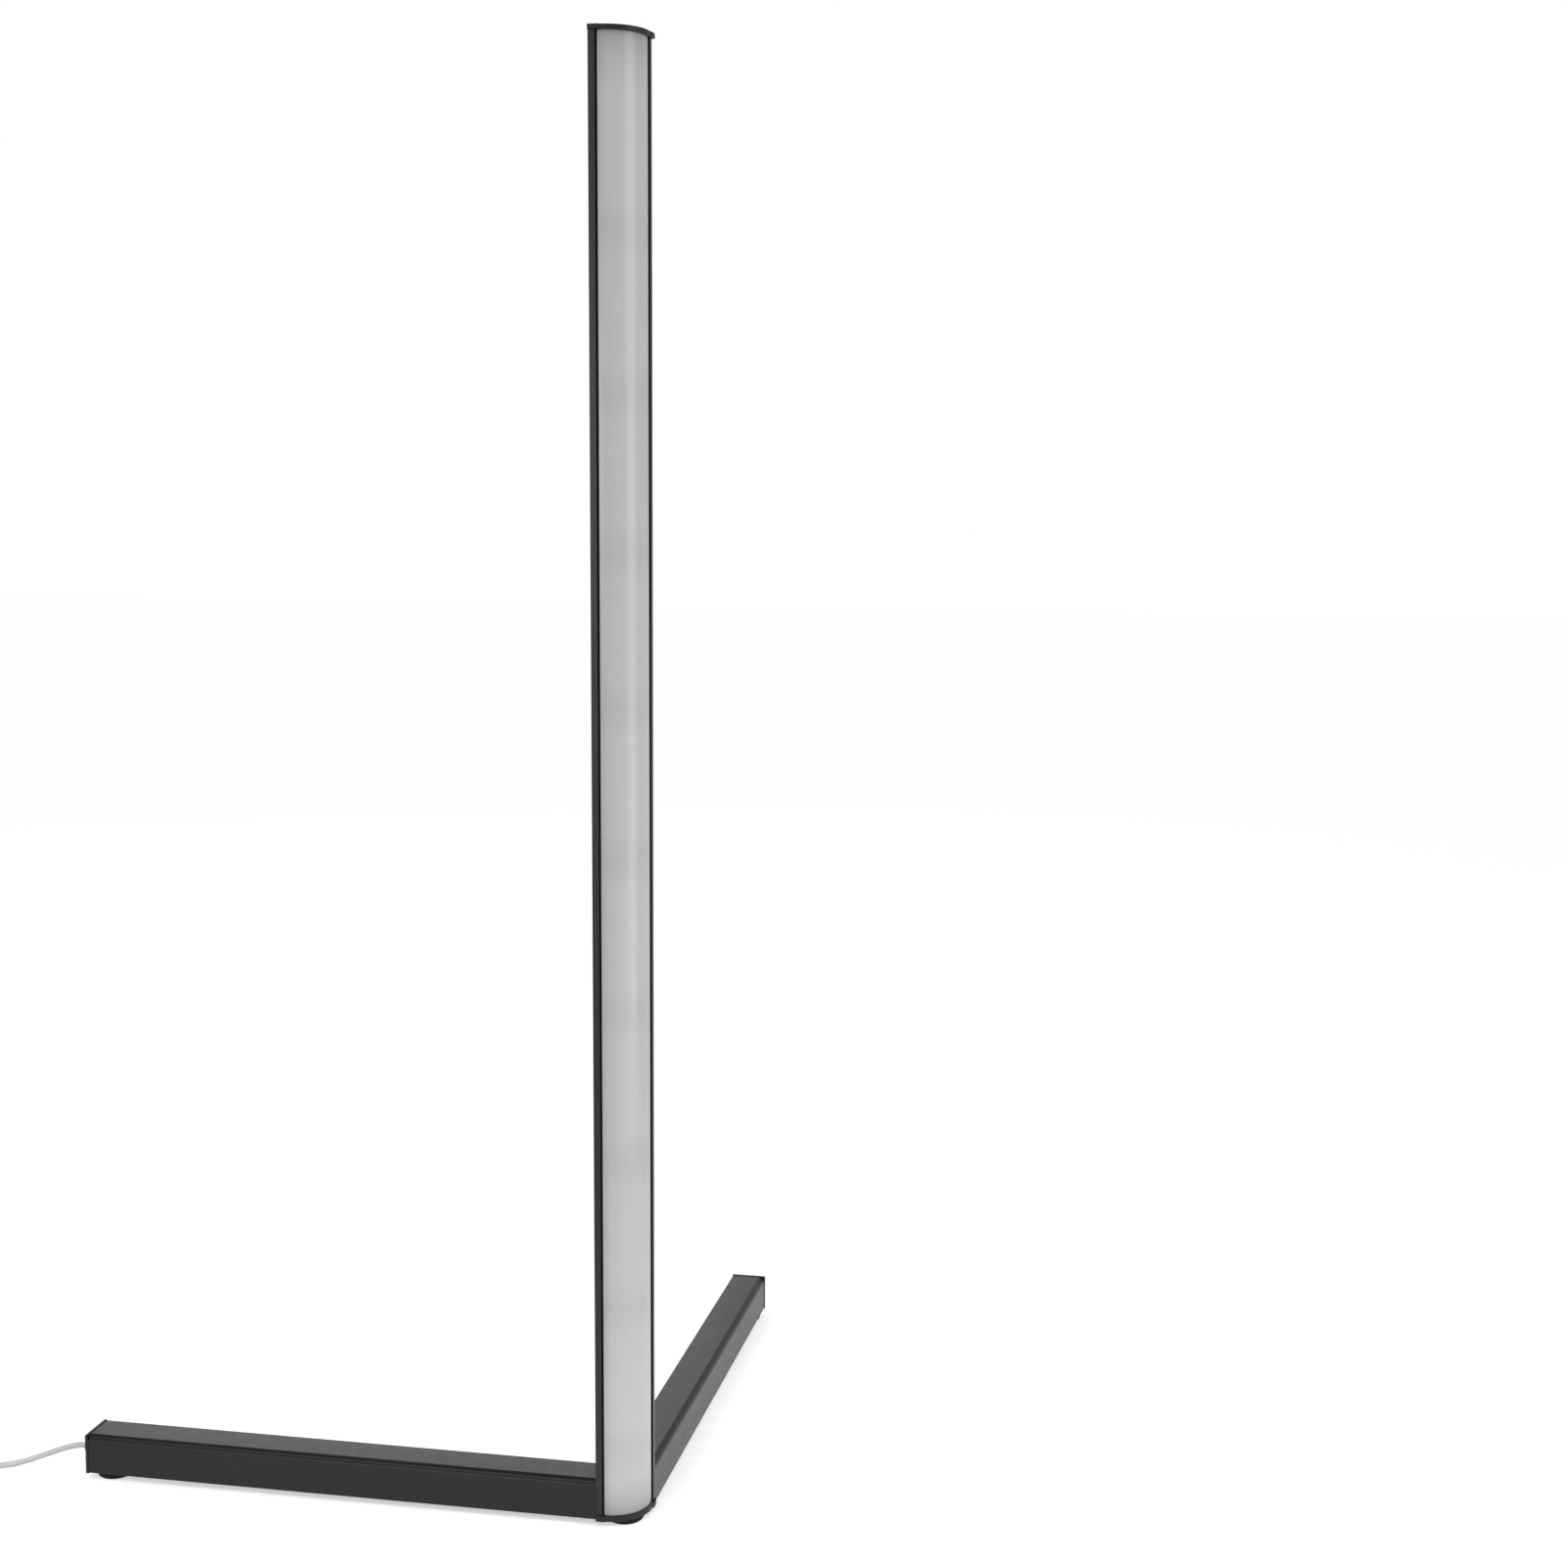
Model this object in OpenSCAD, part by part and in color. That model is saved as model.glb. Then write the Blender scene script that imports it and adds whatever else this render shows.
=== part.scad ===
// Corner lamp: a lit corner profile standing on two square-tube legs at a right angle.
// Millimetres, +Z up. The origin is on the floor, under the centre of the upright.
// The left leg runs along -X, the rear leg along +Y and the diffuser faces (+X, -Y).

/* [Upright] */
// height from the floor to the top of the upper cap
lamp_h = 896; // [600:1:1300]
// outer size of the corner profile, each flank
post_w = 30; // [28:0.5:36]
// wall thickness of the corner profile
post_wall = 1.6; // [1.3:0.1:2]
// length of the two lips that hold the diffuser
lip_w = 4.2; // [3.6:0.1:5]
// open groove between a lip and the diffuser
groove_w = 1.1; // [0.8:0.1:1.4]
// wall thickness of the diffuser
diffuser_wall = 1.4; // [1:0.1:1.8]
// thickness of the upper cap plate
top_cap_t = 3; // [2.5:0.1:4]
// thickness of the lower cap plate
bottom_cap_t = 4; // [3.5:0.1:5]
// how far a cap plate stands out past the profile
cap_over = 1; // [0.4:0.1:1.4]
// how far the upper cap sits off centre towards +X
cap_shift = 0.8; // [0:0.1:1]

/* [Legs] */
// reach of each leg from the profile's flank to its outer end
leg_reach = 340; // [240:5:480]
// side of the square leg tube
leg_side = 25; // [23:0.5:26]
// wall thickness of the leg tube
leg_wall = 1.5; // [1.2:0.1:2]
// radius of the leg's rounded outer top edge
leg_edge_r = 3.5; // [2.5:0.1:4.5]
// thickness of the leg's end plate
end_plate_t = 2; // [1.5:0.1:3]
// diameter of the round rubber feet
foot_d = 23; // [18:0.5:23]
// height of the rubber feet under the legs
foot_h = 4; // [3:0.1:5]
// distance from a leg's end to the centre of its foot
foot_inset = 14.5; // [12:0.5:30]

/* [Light] */
// width of the light board
led_board_w = 10; // [8:0.5:12]
// spacing of the light chips along the board
led_pitch = 16.7; // [14:0.1:34]
// side of a square light chip
led_side = 5; // [3:0.5:5]

/* [Cord] */
// diameter of the supply cord
cord_d = 3.6; // [3:0.1:3.8]

/* [Hidden] */
$fn = 48;
eps = 0.01;
past = 1;
arc_fn = 96;
half = post_w / 2;
diag = sqrt(2);

// stack along the upright
cap_drop = 1;
base_cap_z = foot_h - cap_drop;
post_z0 = base_cap_z + bottom_cap_t;
post_z1 = lamp_h - top_cap_t;
post_len = post_z1 - post_z0;

// diffuser arc: it starts beside each lip and bows out across the diagonal; each lip turns in,
// and the diffuser's hook catches behind the turned edge
dif_recess = 1;
dif_x = -half + lip_w + groove_w;
dif_y = -half + dif_recess;
dif_half_chord = -(dif_x + dif_y) / diag;
dif_chord_u = (dif_x - dif_y) / diag;
dif_bow = 1.35;
dif_r = dif_bow * dif_half_chord;
dif_centre_u = dif_chord_u - sqrt(dif_r * dif_r - dif_half_chord * dif_half_chord);
dif_cx = dif_centre_u / diag;
lip_turn = 2.8;
lip_turn_t = 1.1;
barb_reach = 2.4;
barb_tip = 0.7;
barb_root = 1.8;
hook_lap = 0.5;
hook_rise = 0.2;
dif_leg = lip_turn + barb_root - dif_recess - hook_rise;

// web that carries the light board, measured along the diagonal from the centre
web_u = -0.2 * post_w;
web_t = 1.4;
boss_near = 3.6;
boss_far = 10.8;
boss_r = 2.2;
pilot_r = 1.25;

// fixings
cap_screw_r = 1.35;
cap_screw_len = 12;
csk_r = 2.8;
csk_h = 1.5;
csk_play = 0.05;
hole_play = 0.25;
slot_w = 0.8;
slot_h = 0.7;
pad_h = 5;
pad_play = 0.3;
pad_half_w = 9;
block_len = 18;
block_play = 0.1;
block_screw_r = 1.95;
block_screw_grip = 0.1;
block_screw_len = 12;
block_screw_a = 6.8;
block_screw_gap = 12;
pan_r = 2.7;
pan_h = 2.1;
wire_hole_r = 1.7;
tube_screw_c = 9;
tube_screw_a = 15;
tube_screw_len = 7;

// end caps
plate_proud = 0.4;
insert_len = 10;
insert_wall = 1.6;
cord_hole_r = 4;

// legs
tube_len = leg_reach - end_plate_t;
foot_edge_r = 1.6;
leg_mid = leg_side / 2;
leg_axis_y = -half + leg_mid;
leg_axis_z = foot_h + leg_mid;
left_end_x = -half - leg_reach;

// light board
led_board_t = 1.2;
led_board_z0 = foot_h + leg_side + 2;
led_board_gap = 8;
led_board_len = post_z1 - led_board_gap - led_board_z0;
led_first = 16;
led_t = 1.6;
led_count = floor((led_board_len - led_first - led_side) / led_pitch) + 1;

// control board in the left leg
board_l = 40;
board_w = 16;
board_t = 1.6;
board_pad_t = 1.5;
board_x0 = left_end_x + 17;
board_z0 = foot_h + leg_wall + board_pad_t;
board_top = board_z0 + board_t;
board_pad_inset = 6;
chip_at = [13, -4.5];
chip_size = [7, 6, 1.8];
driver_at = [24, 1];
driver_size = [4.5, 4, 1.4];
capacitor_at = [24, -4];
capacitor_r = 2.5;
capacitor_h = 6;

// inner lead, from the control board through the wire hole to the light board
lead_r = 1.1;
wire_z = foot_h + leg_mid;
wire_y = -half + block_screw_a;
lift_u = (web_u + led_board_t + lead_r) / diag;
inner_route = [
  [board_x0 + 35, leg_axis_y, board_top + lead_r],
  [board_x0 + 48, leg_axis_y, board_top + lead_r],
  [-half - 45, wire_y + 2, wire_z - 3],
  [-half - 21, wire_y, wire_z],
  [-half + 4, wire_y, wire_z],
  [-half + 8, wire_y + 3, wire_z + 3.5],
  [lift_u - 1.5, -lift_u - 3, led_board_z0 - 3],
  [lift_u, -lift_u, led_board_z0 + 3],
  [lift_u, -lift_u, led_board_z0 + 8]
];

// cord
cord_r = cord_d / 2;
cord_sides = 8;
cord_play = 0.05;
exit_x = left_end_x;
grommet_in = 1.5;
grommet_lip_t = 1.2;
grommet_lip = 1.2;
grommet_barb = 0.5;
grommet_barb_t = 1.4;
grommet_boot = 6;
grommet_wall = 0.7;
coil_x = left_end_x - 123;
coil_y = 6;
coil_sides = 6;
coil_steps = 24;
coil_turns = 10.25;
coil_run = cord_d;
turns_in = 4.75;
turns_climb = 0.5;
coil_r0 = 30;
coil_pitch = cord_d + 0.7;
coil_dip = 0.6;
tie_t = 0.5;
tie_w = 6;
tie_play = 0.1;
coil_z = tie_t + tie_play + cord_r;
coil_r_in = coil_r0 - coil_pitch * turns_in;
coil_r_end = coil_r_in + coil_pitch * (coil_turns - turns_in - turns_climb);
coil_top_z = coil_z + coil_pitch;
run_x = coil_x - coil_r_end;

// in-line switch
sw_l = 54;
sw_w = 20;
sw_half_h = 6;
sw_wall = 1.5;
sw_corner = 6;
sw_hold = 6;
sw_post_x = 6;
sw_board_w = 16;
sw_board_l = 18;
sw_y0 = 40;
sw_y1 = sw_y0 + sw_l;
sw_mid_y = sw_y0 + sw_l / 2;
button_r = 5;
button_play = 0.3;
button_proud = 1.2;
button_flange = 1.1;
button_flange_t = 1.1;
button_drop = 0.1;
dish_r = 18.5;
dish_depth = 0.5;
sw_board_z = 3.2;
sw_board_t = 1.2;
tact_side = 6;
tact_h = 2.5;
tact_pin_r = 1.7;
tact_pin_h = 1.3;
post_r = 1.5;

// plug
plug_gap = 23;
plug_x = run_x - plug_gap;
plug_y = 84;
plug_z = 4.5;
plug_l = 24;
plug_w = 15.6;
plug_h = 9;
plug_neck = 5;
plug_corner = 2;
plug_bore = 6;
plug_lead_in = 1;
shell_l = 14;
shell_w = 12;
shell_h = 4.5;
shell_t = 0.4;
tongue_t = 1.6;
tongue_inset = 1;
tongue_play = 0.1;

// route of the cord from the control board to the coil
lead_route = [
  [exit_x + 22, leg_axis_y, board_top + cord_r],
  [exit_x + 17, leg_axis_y, board_top + cord_r + 0.6],
  [exit_x + 12, leg_axis_y, leg_axis_z - 1.5],
  [exit_x + 8, leg_axis_y, leg_axis_z],
  [exit_x + 4, leg_axis_y, leg_axis_z],
  [exit_x - 8, leg_axis_y, leg_axis_z],
  [exit_x - 12, leg_axis_y - 0.1, leg_axis_z - 0.3],
  [exit_x - 22, leg_axis_y - 1, leg_axis_z - 3],
  [exit_x - 38, leg_axis_y - 3, leg_axis_z - 9],
  [exit_x - 54, leg_axis_y - 7, cord_r + 1],
  [exit_x - 72, -15, cord_r],
  [exit_x - 90, -21, cord_r],
  [exit_x - 106, coil_y - coil_r0 + 0.2, coil_z - 0.2],
  [exit_x - 115, coil_y - coil_r0, coil_z],
  [coil_x + coil_run, coil_y - coil_r0, coil_z]
];

// route from the coil to the in-line switch
tail_a_route = [
  [run_x, coil_y + coil_run, coil_top_z],
  [run_x, coil_y + 11, coil_top_z],
  [run_x, coil_y + 22, sw_half_h],
  [run_x, sw_y0 + sw_hold, sw_half_h]
];

// route from the in-line switch round to the plug
tail_b_route = [
  [run_x, sw_y1 - sw_hold, sw_half_h],
  [run_x, sw_y1 + 1, sw_half_h],
  [run_x, sw_y1 + 8, 5.8],
  [run_x - 3, sw_y1 + 15, 5.4],
  [run_x - 11.5, sw_y1 + 19, 5],
  [run_x - 20, sw_y1 + 15, plug_z],
  [plug_x, sw_y1 + 7, plug_z],
  [plug_x, plug_y - 3, plug_z]
];

black = [0.10, 0.10, 0.11];
opal = [0.93, 0.93, 0.94];
white = [0.92, 0.92, 0.90];
steel = [0.62, 0.63, 0.65];
amber = [0.95, 0.85, 0.45];
board_green = [0.10, 0.30, 0.16];
wire_red = [0.75, 0.12, 0.10];
pale_grey = [0.80, 0.80, 0.79];
rubber = [0.05, 0.05, 0.05];

// ---- shared helpers ----

// repeats a shape on both sides of the diagonal plane
module both_sides() {
  children();
  mirror([1, 1, 0]) children();
}

// local frame of the rear leg: X from the outer face inwards, Y up, Z out along the leg
module on_rear_leg() {
  translate([half, half, foot_h]) rotate([90, 0, 180]) children();
}

module on_left_leg() {
  mirror([1, 1, 0]) on_rear_leg() children();
}

// frame turned to the diagonal: X towards the diffuser, Y across it
module on_diagonal() {
  rotate([0, 0, -45]) children();
}

module round_rect(w, l, r) {
  square([w - 2 * r, l], center = true);
  square([w, l - 2 * r], center = true);
  for (sx = [-1, 1], sy = [-1, 1])
    translate([sx * (w / 2 - r), sy * (l / 2 - r)]) circle(r);
}

// countersunk screw pointing to -Z, its head's face at the origin
module csk_screw(r, len) {
  difference() {
    union() {
      translate([0, 0, -csk_h]) cylinder(h = csk_h, r1 = r, r2 = csk_r);
      translate([0, 0, -len]) cylinder(h = len - csk_h + eps, r = r);
    }
    for (a = [0, 90])
      rotate([0, 0, a]) translate([0, 0, -slot_h / 2 + eps])
        cube([csk_r, slot_w, slot_h], center = true);
  }
}

module csk_hole(r, len) {
  translate([0, 0, -csk_h]) cylinder(h = csk_h + eps, r1 = r, r2 = csk_r + csk_play);
  translate([0, 0, -len]) cylinder(h = len - csk_h + eps, r = r);
}

// ---- swept cord ----

function unit(v) = v / norm(v);
function spline_point(p, i, t) =
  let (a = p[max(i - 1, 0)], b = p[i], c = p[i + 1], d = p[min(i + 2, len(p) - 1)])
  0.5 * (2 * b + (c - a) * t + (2 * a - 5 * b + 4 * c - d) * t * t
    + (3 * b - a - 3 * c + d) * t * t * t);
function spline(p, n) =
  concat([for (i = [0 : len(p) - 2], k = [0 : n - 1]) spline_point(p, i, k / n)],
    [p[len(p) - 1]]);
function tangent(p, i) = unit(p[min(i + 1, len(p) - 1)] - p[max(i - 1, 0)]);
function ring(p, i, r, n, side) =
  let (t = tangent(p, i), s = unit(cross(t, side)), u = cross(s, t))
  [for (k = [0 : n - 1]) p[i] + r * (cos(360 * k / n) * s + sin(360 * k / n) * u)];
function along(p, i = 0) = i >= len(p) - 1 ? 0 : norm(p[i + 1] - p[i]) + along(p, i + 1);

// side is a direction that the path never takes
module tube(p, r, n, side = [0, 0, 1]) {
  m = len(p);
  points = [for (i = [0 : m - 1]) each ring(p, i, r, n, side)];
  sides = [for (i = [0 : m - 2], k = [0 : n - 1])
    [i * n + k, i * n + (k + 1) % n, (i + 1) * n + (k + 1) % n, (i + 1) * n + k]];
  first = [for (k = [n - 1 : -1 : 0]) k];
  last = [for (k = [0 : n - 1]) (m - 1) * n + k];
  polyhedron(points = points, faces = concat([first], sides, [last]), convexity = 10);
}

// coil: in along the lower layer, up in the half turn where it reverses, out along the upper
function climb(t) = min(max((t - turns_in) / turns_climb, 0), 1);
function coil_radius(t) =
  t < turns_in ? coil_r0 - coil_pitch * t
  : t > turns_in + turns_climb ? coil_r_in + coil_pitch * (t - turns_in - turns_climb)
  : coil_r_in - coil_dip * sin(180 * climb(t));
function coil_point(t) =
  let (a = -90 - 360 * t, r = coil_radius(t), c = climb(t))
  [coil_x + r * cos(a), coil_y + r * sin(a), coil_z + coil_pitch * (1 - cos(180 * c)) / 2];
coil_loops = [for (i = [0 : coil_steps * coil_turns]) coil_point(i / coil_steps)];
coil_path = concat([coil_point(0) + [coil_run, 0, 0]], coil_loops,
  [coil_point(coil_turns) + [0, coil_run, 0]]);
coil_least_gap = min([for (i = [0 : len(coil_path) - 1])
  for (j = [i + coil_steps / 2 : len(coil_path) - 1])
    norm(coil_path[i] - coil_path[j])]) - cord_d;
lead_path = spline(lead_route, 2);
tail_a_path = spline(tail_a_route, 2);
tail_b_path = spline(tail_b_route, 2);
cord_length = along(lead_path) + along(coil_path) + along(tail_a_path) + along(tail_b_path)
  + sw_l - 2 * sw_hold;
echo(least_gap_of_the_coil_to_itself = coil_least_gap);
echo(cord_length = cord_length, coil_length = along(coil_path));

// ---- upright ----

module flank_half() {
  translate([-half, -half]) square([post_wall, post_w]);
  translate([-half, -half]) square([lip_w, post_wall]);
  translate([-half + lip_w - lip_turn_t, -half]) square([lip_turn_t, lip_turn]);
  difference() {
    translate([-half + boss_near, half - boss_far]) circle(boss_r);
    translate([-half + boss_near, half - boss_far]) circle(pilot_r);
  }
}

module web_2d() {
  intersection() {
    rotate(-45) translate([web_u - web_t, -post_w]) square([web_t, 2 * post_w]);
    square(post_w - post_wall, center = true);
  }
}

module upright_profile() {
  color(black) difference() {
    translate([0, 0, post_z0]) linear_extrude(post_len) {
      both_sides() flank_half();
      web_2d();
    }
    both_sides() on_rear_leg() {
      for (s = [-1, 1])
        translate([block_screw_a, leg_mid + s * block_screw_gap / 2, -2 * post_wall])
          cylinder(h = 3 * post_wall, r = block_screw_r + hole_play);
      translate([block_screw_a, leg_mid, -2 * post_wall])
        cylinder(h = 3 * post_wall, r = wire_hole_r);
    }
  }
}

module diffuser_hook() {
  translate([dif_x + eps, dif_y + hook_rise]) square([diffuser_wall, dif_leg]);
  polygon([
    [dif_x + hook_lap, -half + lip_turn],
    [dif_x - barb_reach, -half + lip_turn],
    [dif_x - barb_reach, -half + lip_turn + barb_tip],
    [dif_x + hook_lap, -half + lip_turn + barb_root]
  ]);
}

module diffuser_arc() {
  intersection() {
    difference() {
      translate([dif_cx, -dif_cx]) circle(dif_r, $fn = arc_fn);
      translate([dif_cx, -dif_cx]) circle(dif_r - diffuser_wall, $fn = arc_fn);
    }
    translate([dif_x, -post_w - dif_x]) square(post_w);
  }
}

module diffuser() {
  color(opal) translate([0, 0, post_z0]) {
    linear_extrude(post_len) diffuser_arc();
    both_sides() linear_extrude(post_len) diffuser_hook();
  }
}

module led_board() {
  color(white) on_diagonal()
    translate([web_u, -led_board_w / 2, led_board_z0])
      cube([led_board_t, led_board_w, led_board_len]);
}

module led_chips() {
  color(amber) on_diagonal()
    for (i = [0 : led_count - 1])
      translate([web_u + led_board_t, -led_side / 2, led_board_z0 + led_first + i * led_pitch])
        cube([led_t, led_side, led_side]);
}

// ---- caps of the upright ----

// outline of the profile with its bow, let out by a margin on each side
module cap_outline(front, back) {
  intersection() {
    translate([-half - back, -half - front]) square(post_w + front + back);
    translate([dif_cx, -dif_cx]) circle(dif_r + front, $fn = arc_fn);
  }
  translate([-half - back, -half - front]) square([dif_x + half + back, post_w + front + back]);
  translate([-half - back, -dif_x]) square([post_w + front + back, dif_x + half + back]);
}

module cap_pad() {
  intersection() {
    translate([dif_cx, -dif_cx]) circle(dif_r - diffuser_wall - pad_play, $fn = arc_fn);
    rotate(-45) translate([0, -pad_half_w]) square([post_w, 2 * pad_half_w]);
  }
}

module at_cap_screws() {
  both_sides() translate([-half + boss_near, half - boss_far, 0]) children();
}

module top_cap() {
  color(black) {
    translate([0, 0, post_z1]) difference() {
      translate([cap_shift, 0, 0]) linear_extrude(top_cap_t) cap_outline(cap_over, cap_over);
      at_cap_screws() translate([0, 0, top_cap_t])
        csk_hole(cap_screw_r + hole_play, top_cap_t + past);
    }
    translate([0, 0, post_z1 - pad_h]) linear_extrude(pad_h + eps) cap_pad();
  }
}

module bottom_cap() {
  color(black) {
    translate([0, 0, base_cap_z]) difference() {
      linear_extrude(bottom_cap_t) cap_outline(cap_over, 0);
      at_cap_screws() mirror([0, 0, 1]) csk_hole(cap_screw_r + hole_play, bottom_cap_t + past);
    }
    translate([0, 0, post_z0 - eps]) linear_extrude(pad_h + eps) cap_pad();
  }
}

module top_cap_screws() {
  color(steel) at_cap_screws() translate([0, 0, lamp_h]) csk_screw(cap_screw_r, cap_screw_len);
}

module bottom_cap_screws() {
  color(steel) at_cap_screws() translate([0, 0, base_cap_z]) mirror([0, 0, 1])
    csk_screw(cap_screw_r, cap_screw_len);
}

// ---- legs, drawn once in the leg's own frame ----

module leg_outline(side, edge_r) {
  difference() {
    square(side);
    translate([-eps, side - edge_r]) square(edge_r + eps);
  }
  translate([edge_r, side - edge_r]) circle(edge_r);
}

module leg_bore() {
  translate([leg_wall, leg_wall]) leg_outline(leg_side - 2 * leg_wall, leg_edge_r - leg_wall);
}

module leg_tube() {
  difference() {
    linear_extrude(tube_len) difference() {
      leg_outline(leg_side, leg_edge_r);
      leg_bore();
    }
    translate([tube_screw_a, 0, tube_screw_c]) rotate([90, 0, 0])
      csk_hole(cap_screw_r + hole_play, leg_wall + past);
  }
}

module leg_block() {
  side = leg_side - 2 * leg_wall - 2 * block_play;
  difference() {
    translate([leg_wall + block_play, leg_wall + block_play, 0]) linear_extrude(block_len)
      leg_outline(side, leg_edge_r - leg_wall);
    for (s = [-1, 1])
      translate([block_screw_a, leg_mid + s * block_screw_gap / 2, -eps])
        cylinder(h = block_screw_len + past, r = block_screw_r - block_screw_grip);
    translate([block_screw_a, leg_mid, -eps]) cylinder(h = block_len + past, r = wire_hole_r);
    translate([tube_screw_a, 0, tube_screw_c]) rotate([-90, 0, 0])
      cylinder(h = tube_screw_len + past, r = pilot_r);
  }
}

module block_screws() {
  for (s = [-1, 1])
    translate([block_screw_a, leg_mid + s * block_screw_gap / 2, -post_wall]) difference() {
      union() {
        translate([0, 0, -eps]) cylinder(h = block_screw_len + eps, r = block_screw_r);
        translate([0, 0, -pan_h]) cylinder(h = pan_h, r = pan_r);
      }
      for (a = [0, 90])
        rotate([0, 0, a]) translate([0, 0, -pan_h + slot_h / 2 - eps])
          cube([pan_r, slot_w, slot_h], center = true);
    }
}

module tube_screw() {
  translate([tube_screw_a, 0, tube_screw_c]) rotate([90, 0, 0])
    csk_screw(cap_screw_r, tube_screw_len);
}

module end_cap_insert() {
  side = leg_side - 2 * leg_wall - 2 * block_play;
  inner = side - 2 * insert_wall;
  translate([0, 0, tube_len - insert_len]) linear_extrude(insert_len + eps) difference() {
    translate([leg_wall + block_play, leg_wall + block_play])
      leg_outline(side, leg_edge_r - leg_wall);
    translate([leg_wall + block_play + insert_wall, leg_wall + block_play + insert_wall])
      square(inner);
  }
}

module end_cap() {
  translate([-plate_proud, -plate_proud, tube_len])
    cube([leg_side + 2 * plate_proud, leg_side + 2 * plate_proud, end_plate_t]);
  end_cap_insert();
}

module foot(h) {
  rotate_extrude() difference() {
    square([foot_d / 2, h]);
    translate([foot_d / 2 - foot_edge_r, 0]) difference() {
      translate([0, -eps]) square([foot_edge_r + eps, foot_edge_r + eps]);
      translate([0, foot_edge_r]) circle(foot_edge_r);
    }
  }
}

module left_leg() { color(black) on_left_leg() leg_tube(); }
module rear_leg() { color(black) on_rear_leg() leg_tube(); }
module left_block() { color(steel) on_left_leg() leg_block(); }
module rear_block() { color(steel) on_rear_leg() leg_block(); }
module left_block_screws() { color(steel) on_left_leg() block_screws(); }
module rear_block_screws() { color(steel) on_rear_leg() block_screws(); }
module left_tube_screw() { color(steel) on_left_leg() tube_screw(); }
module rear_tube_screw() { color(steel) on_rear_leg() tube_screw(); }
module rear_end_cap() { color(black) on_rear_leg() end_cap(); }

module left_end_cap() {
  color(black) on_left_leg() difference() {
    end_cap();
    translate([leg_mid, leg_mid, tube_len - past])
      cylinder(h = end_plate_t + 2 * past, r = cord_hole_r);
  }
}

module corner_foot() { color(rubber) foot(base_cap_z); }

module left_foot() {
  color(rubber) translate([left_end_x + foot_inset, leg_axis_y, 0]) foot(foot_h);
}

module rear_foot() {
  color(rubber) mirror([1, 1, 0]) translate([left_end_x + foot_inset, leg_axis_y, 0])
    foot(foot_h);
}

// ---- supply, control board and wiring ----

module board_pad() {
  pad_x = board_x0 + board_pad_inset;
  color(white) translate([pad_x, leg_axis_y - board_w / 2, foot_h + leg_wall])
    cube([board_l - 2 * board_pad_inset, board_w, board_pad_t]);
}

module control_board() {
  color(board_green) {
    translate([board_x0, leg_axis_y - board_w / 2, board_z0]) cube([board_l, board_w, board_t]);
    translate([board_x0 + chip_at.x, leg_axis_y + chip_at.y, board_top]) cube(chip_size);
    translate([board_x0 + driver_at.x, leg_axis_y + driver_at.y, board_top]) cube(driver_size);
    translate([board_x0 + capacitor_at.x, leg_axis_y + capacitor_at.y, board_top])
      cylinder(h = capacitor_h, r = capacitor_r);
  }
}

module inner_lead() {
  color(wire_red) tube(spline(inner_route, 3), lead_r, cord_sides, [0, 1, 0]);
}

module cord_grommet() {
  color(pale_grey) translate([exit_x, leg_axis_y, leg_axis_z]) rotate([0, -90, 0])
    difference() {
      union() {
        translate([0, 0, -end_plate_t - grommet_in])
          cylinder(h = end_plate_t + grommet_in + eps, r = cord_hole_r);
        translate([0, 0, -end_plate_t - grommet_in])
          cylinder(h = grommet_barb_t, r = cord_hole_r + grommet_barb);
        cylinder(h = grommet_lip_t, r = cord_hole_r + grommet_lip);
        translate([0, 0, grommet_lip_t - eps])
          cylinder(h = grommet_boot, r1 = cord_hole_r - grommet_wall, r2 = cord_r + grommet_wall);
      }
      translate([0, 0, -end_plate_t - grommet_in - past])
        cylinder(h = end_plate_t + grommet_in + grommet_lip_t + grommet_boot + 2 * past,
          r = cord_r + cord_play);
    }
}

module cord_lead() { color(white) tube(lead_path, cord_r, cord_sides); }
module cord_coil() { color(white) tube(coil_path, cord_r, coil_sides); }
module cord_tail_a() { color(white) tube(tail_a_path, cord_r, cord_sides); }
module cord_tail_b() { color(white) tube(tail_b_path, cord_r, cord_sides); }

module coil_tie() {
  r_lo = coil_r_in - coil_dip - cord_r;
  r_hi = coil_r0 + cord_r;
  z_hi = coil_top_z + cord_r + tie_play;
  color(rubber) translate([coil_x, coil_y - tie_w / 2, 0]) difference() {
    translate([r_lo - tie_t, 0, 0]) cube([r_hi - r_lo + 2 * tie_t, tie_w, z_hi + tie_t]);
    translate([r_lo, -past, tie_t]) cube([r_hi - r_lo, tie_w + 2 * past, z_hi - tie_t]);
  }
}

// ---- in-line switch ----

module at_switch() {
  translate([run_x, sw_mid_y, 0]) children();
}

module switch_bore() {
  translate([0, 0, sw_half_h]) rotate([90, 0, 0])
    cylinder(h = sw_l + 2 * past, r = cord_r + cord_play, center = true);
}

module switch_lower() {
  color(white) at_switch() difference() {
    union() {
      difference() {
        linear_extrude(sw_half_h) round_rect(sw_w, sw_l, sw_corner);
        translate([0, 0, sw_wall]) linear_extrude(sw_half_h)
          round_rect(sw_w - 2 * sw_wall, sw_l - 2 * sw_wall, sw_corner - sw_wall);
      }
      for (s = [-1, 1])
        translate([s * sw_post_x, 0, sw_wall - eps]) cylinder(h = sw_board_z - sw_wall + eps, r = post_r);
    }
    switch_bore();
  }
}

module switch_upper() {
  color(white) at_switch() difference() {
    translate([0, 0, sw_half_h]) linear_extrude(sw_half_h) round_rect(sw_w, sw_l, sw_corner);
    translate([0, 0, sw_half_h - eps]) linear_extrude(sw_half_h - sw_wall)
      round_rect(sw_w - 2 * sw_wall, sw_l - 2 * sw_wall, sw_corner - sw_wall);
    cylinder(h = 2 * sw_half_h + past, r = button_r + button_play);
    switch_bore();
  }
}

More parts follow.
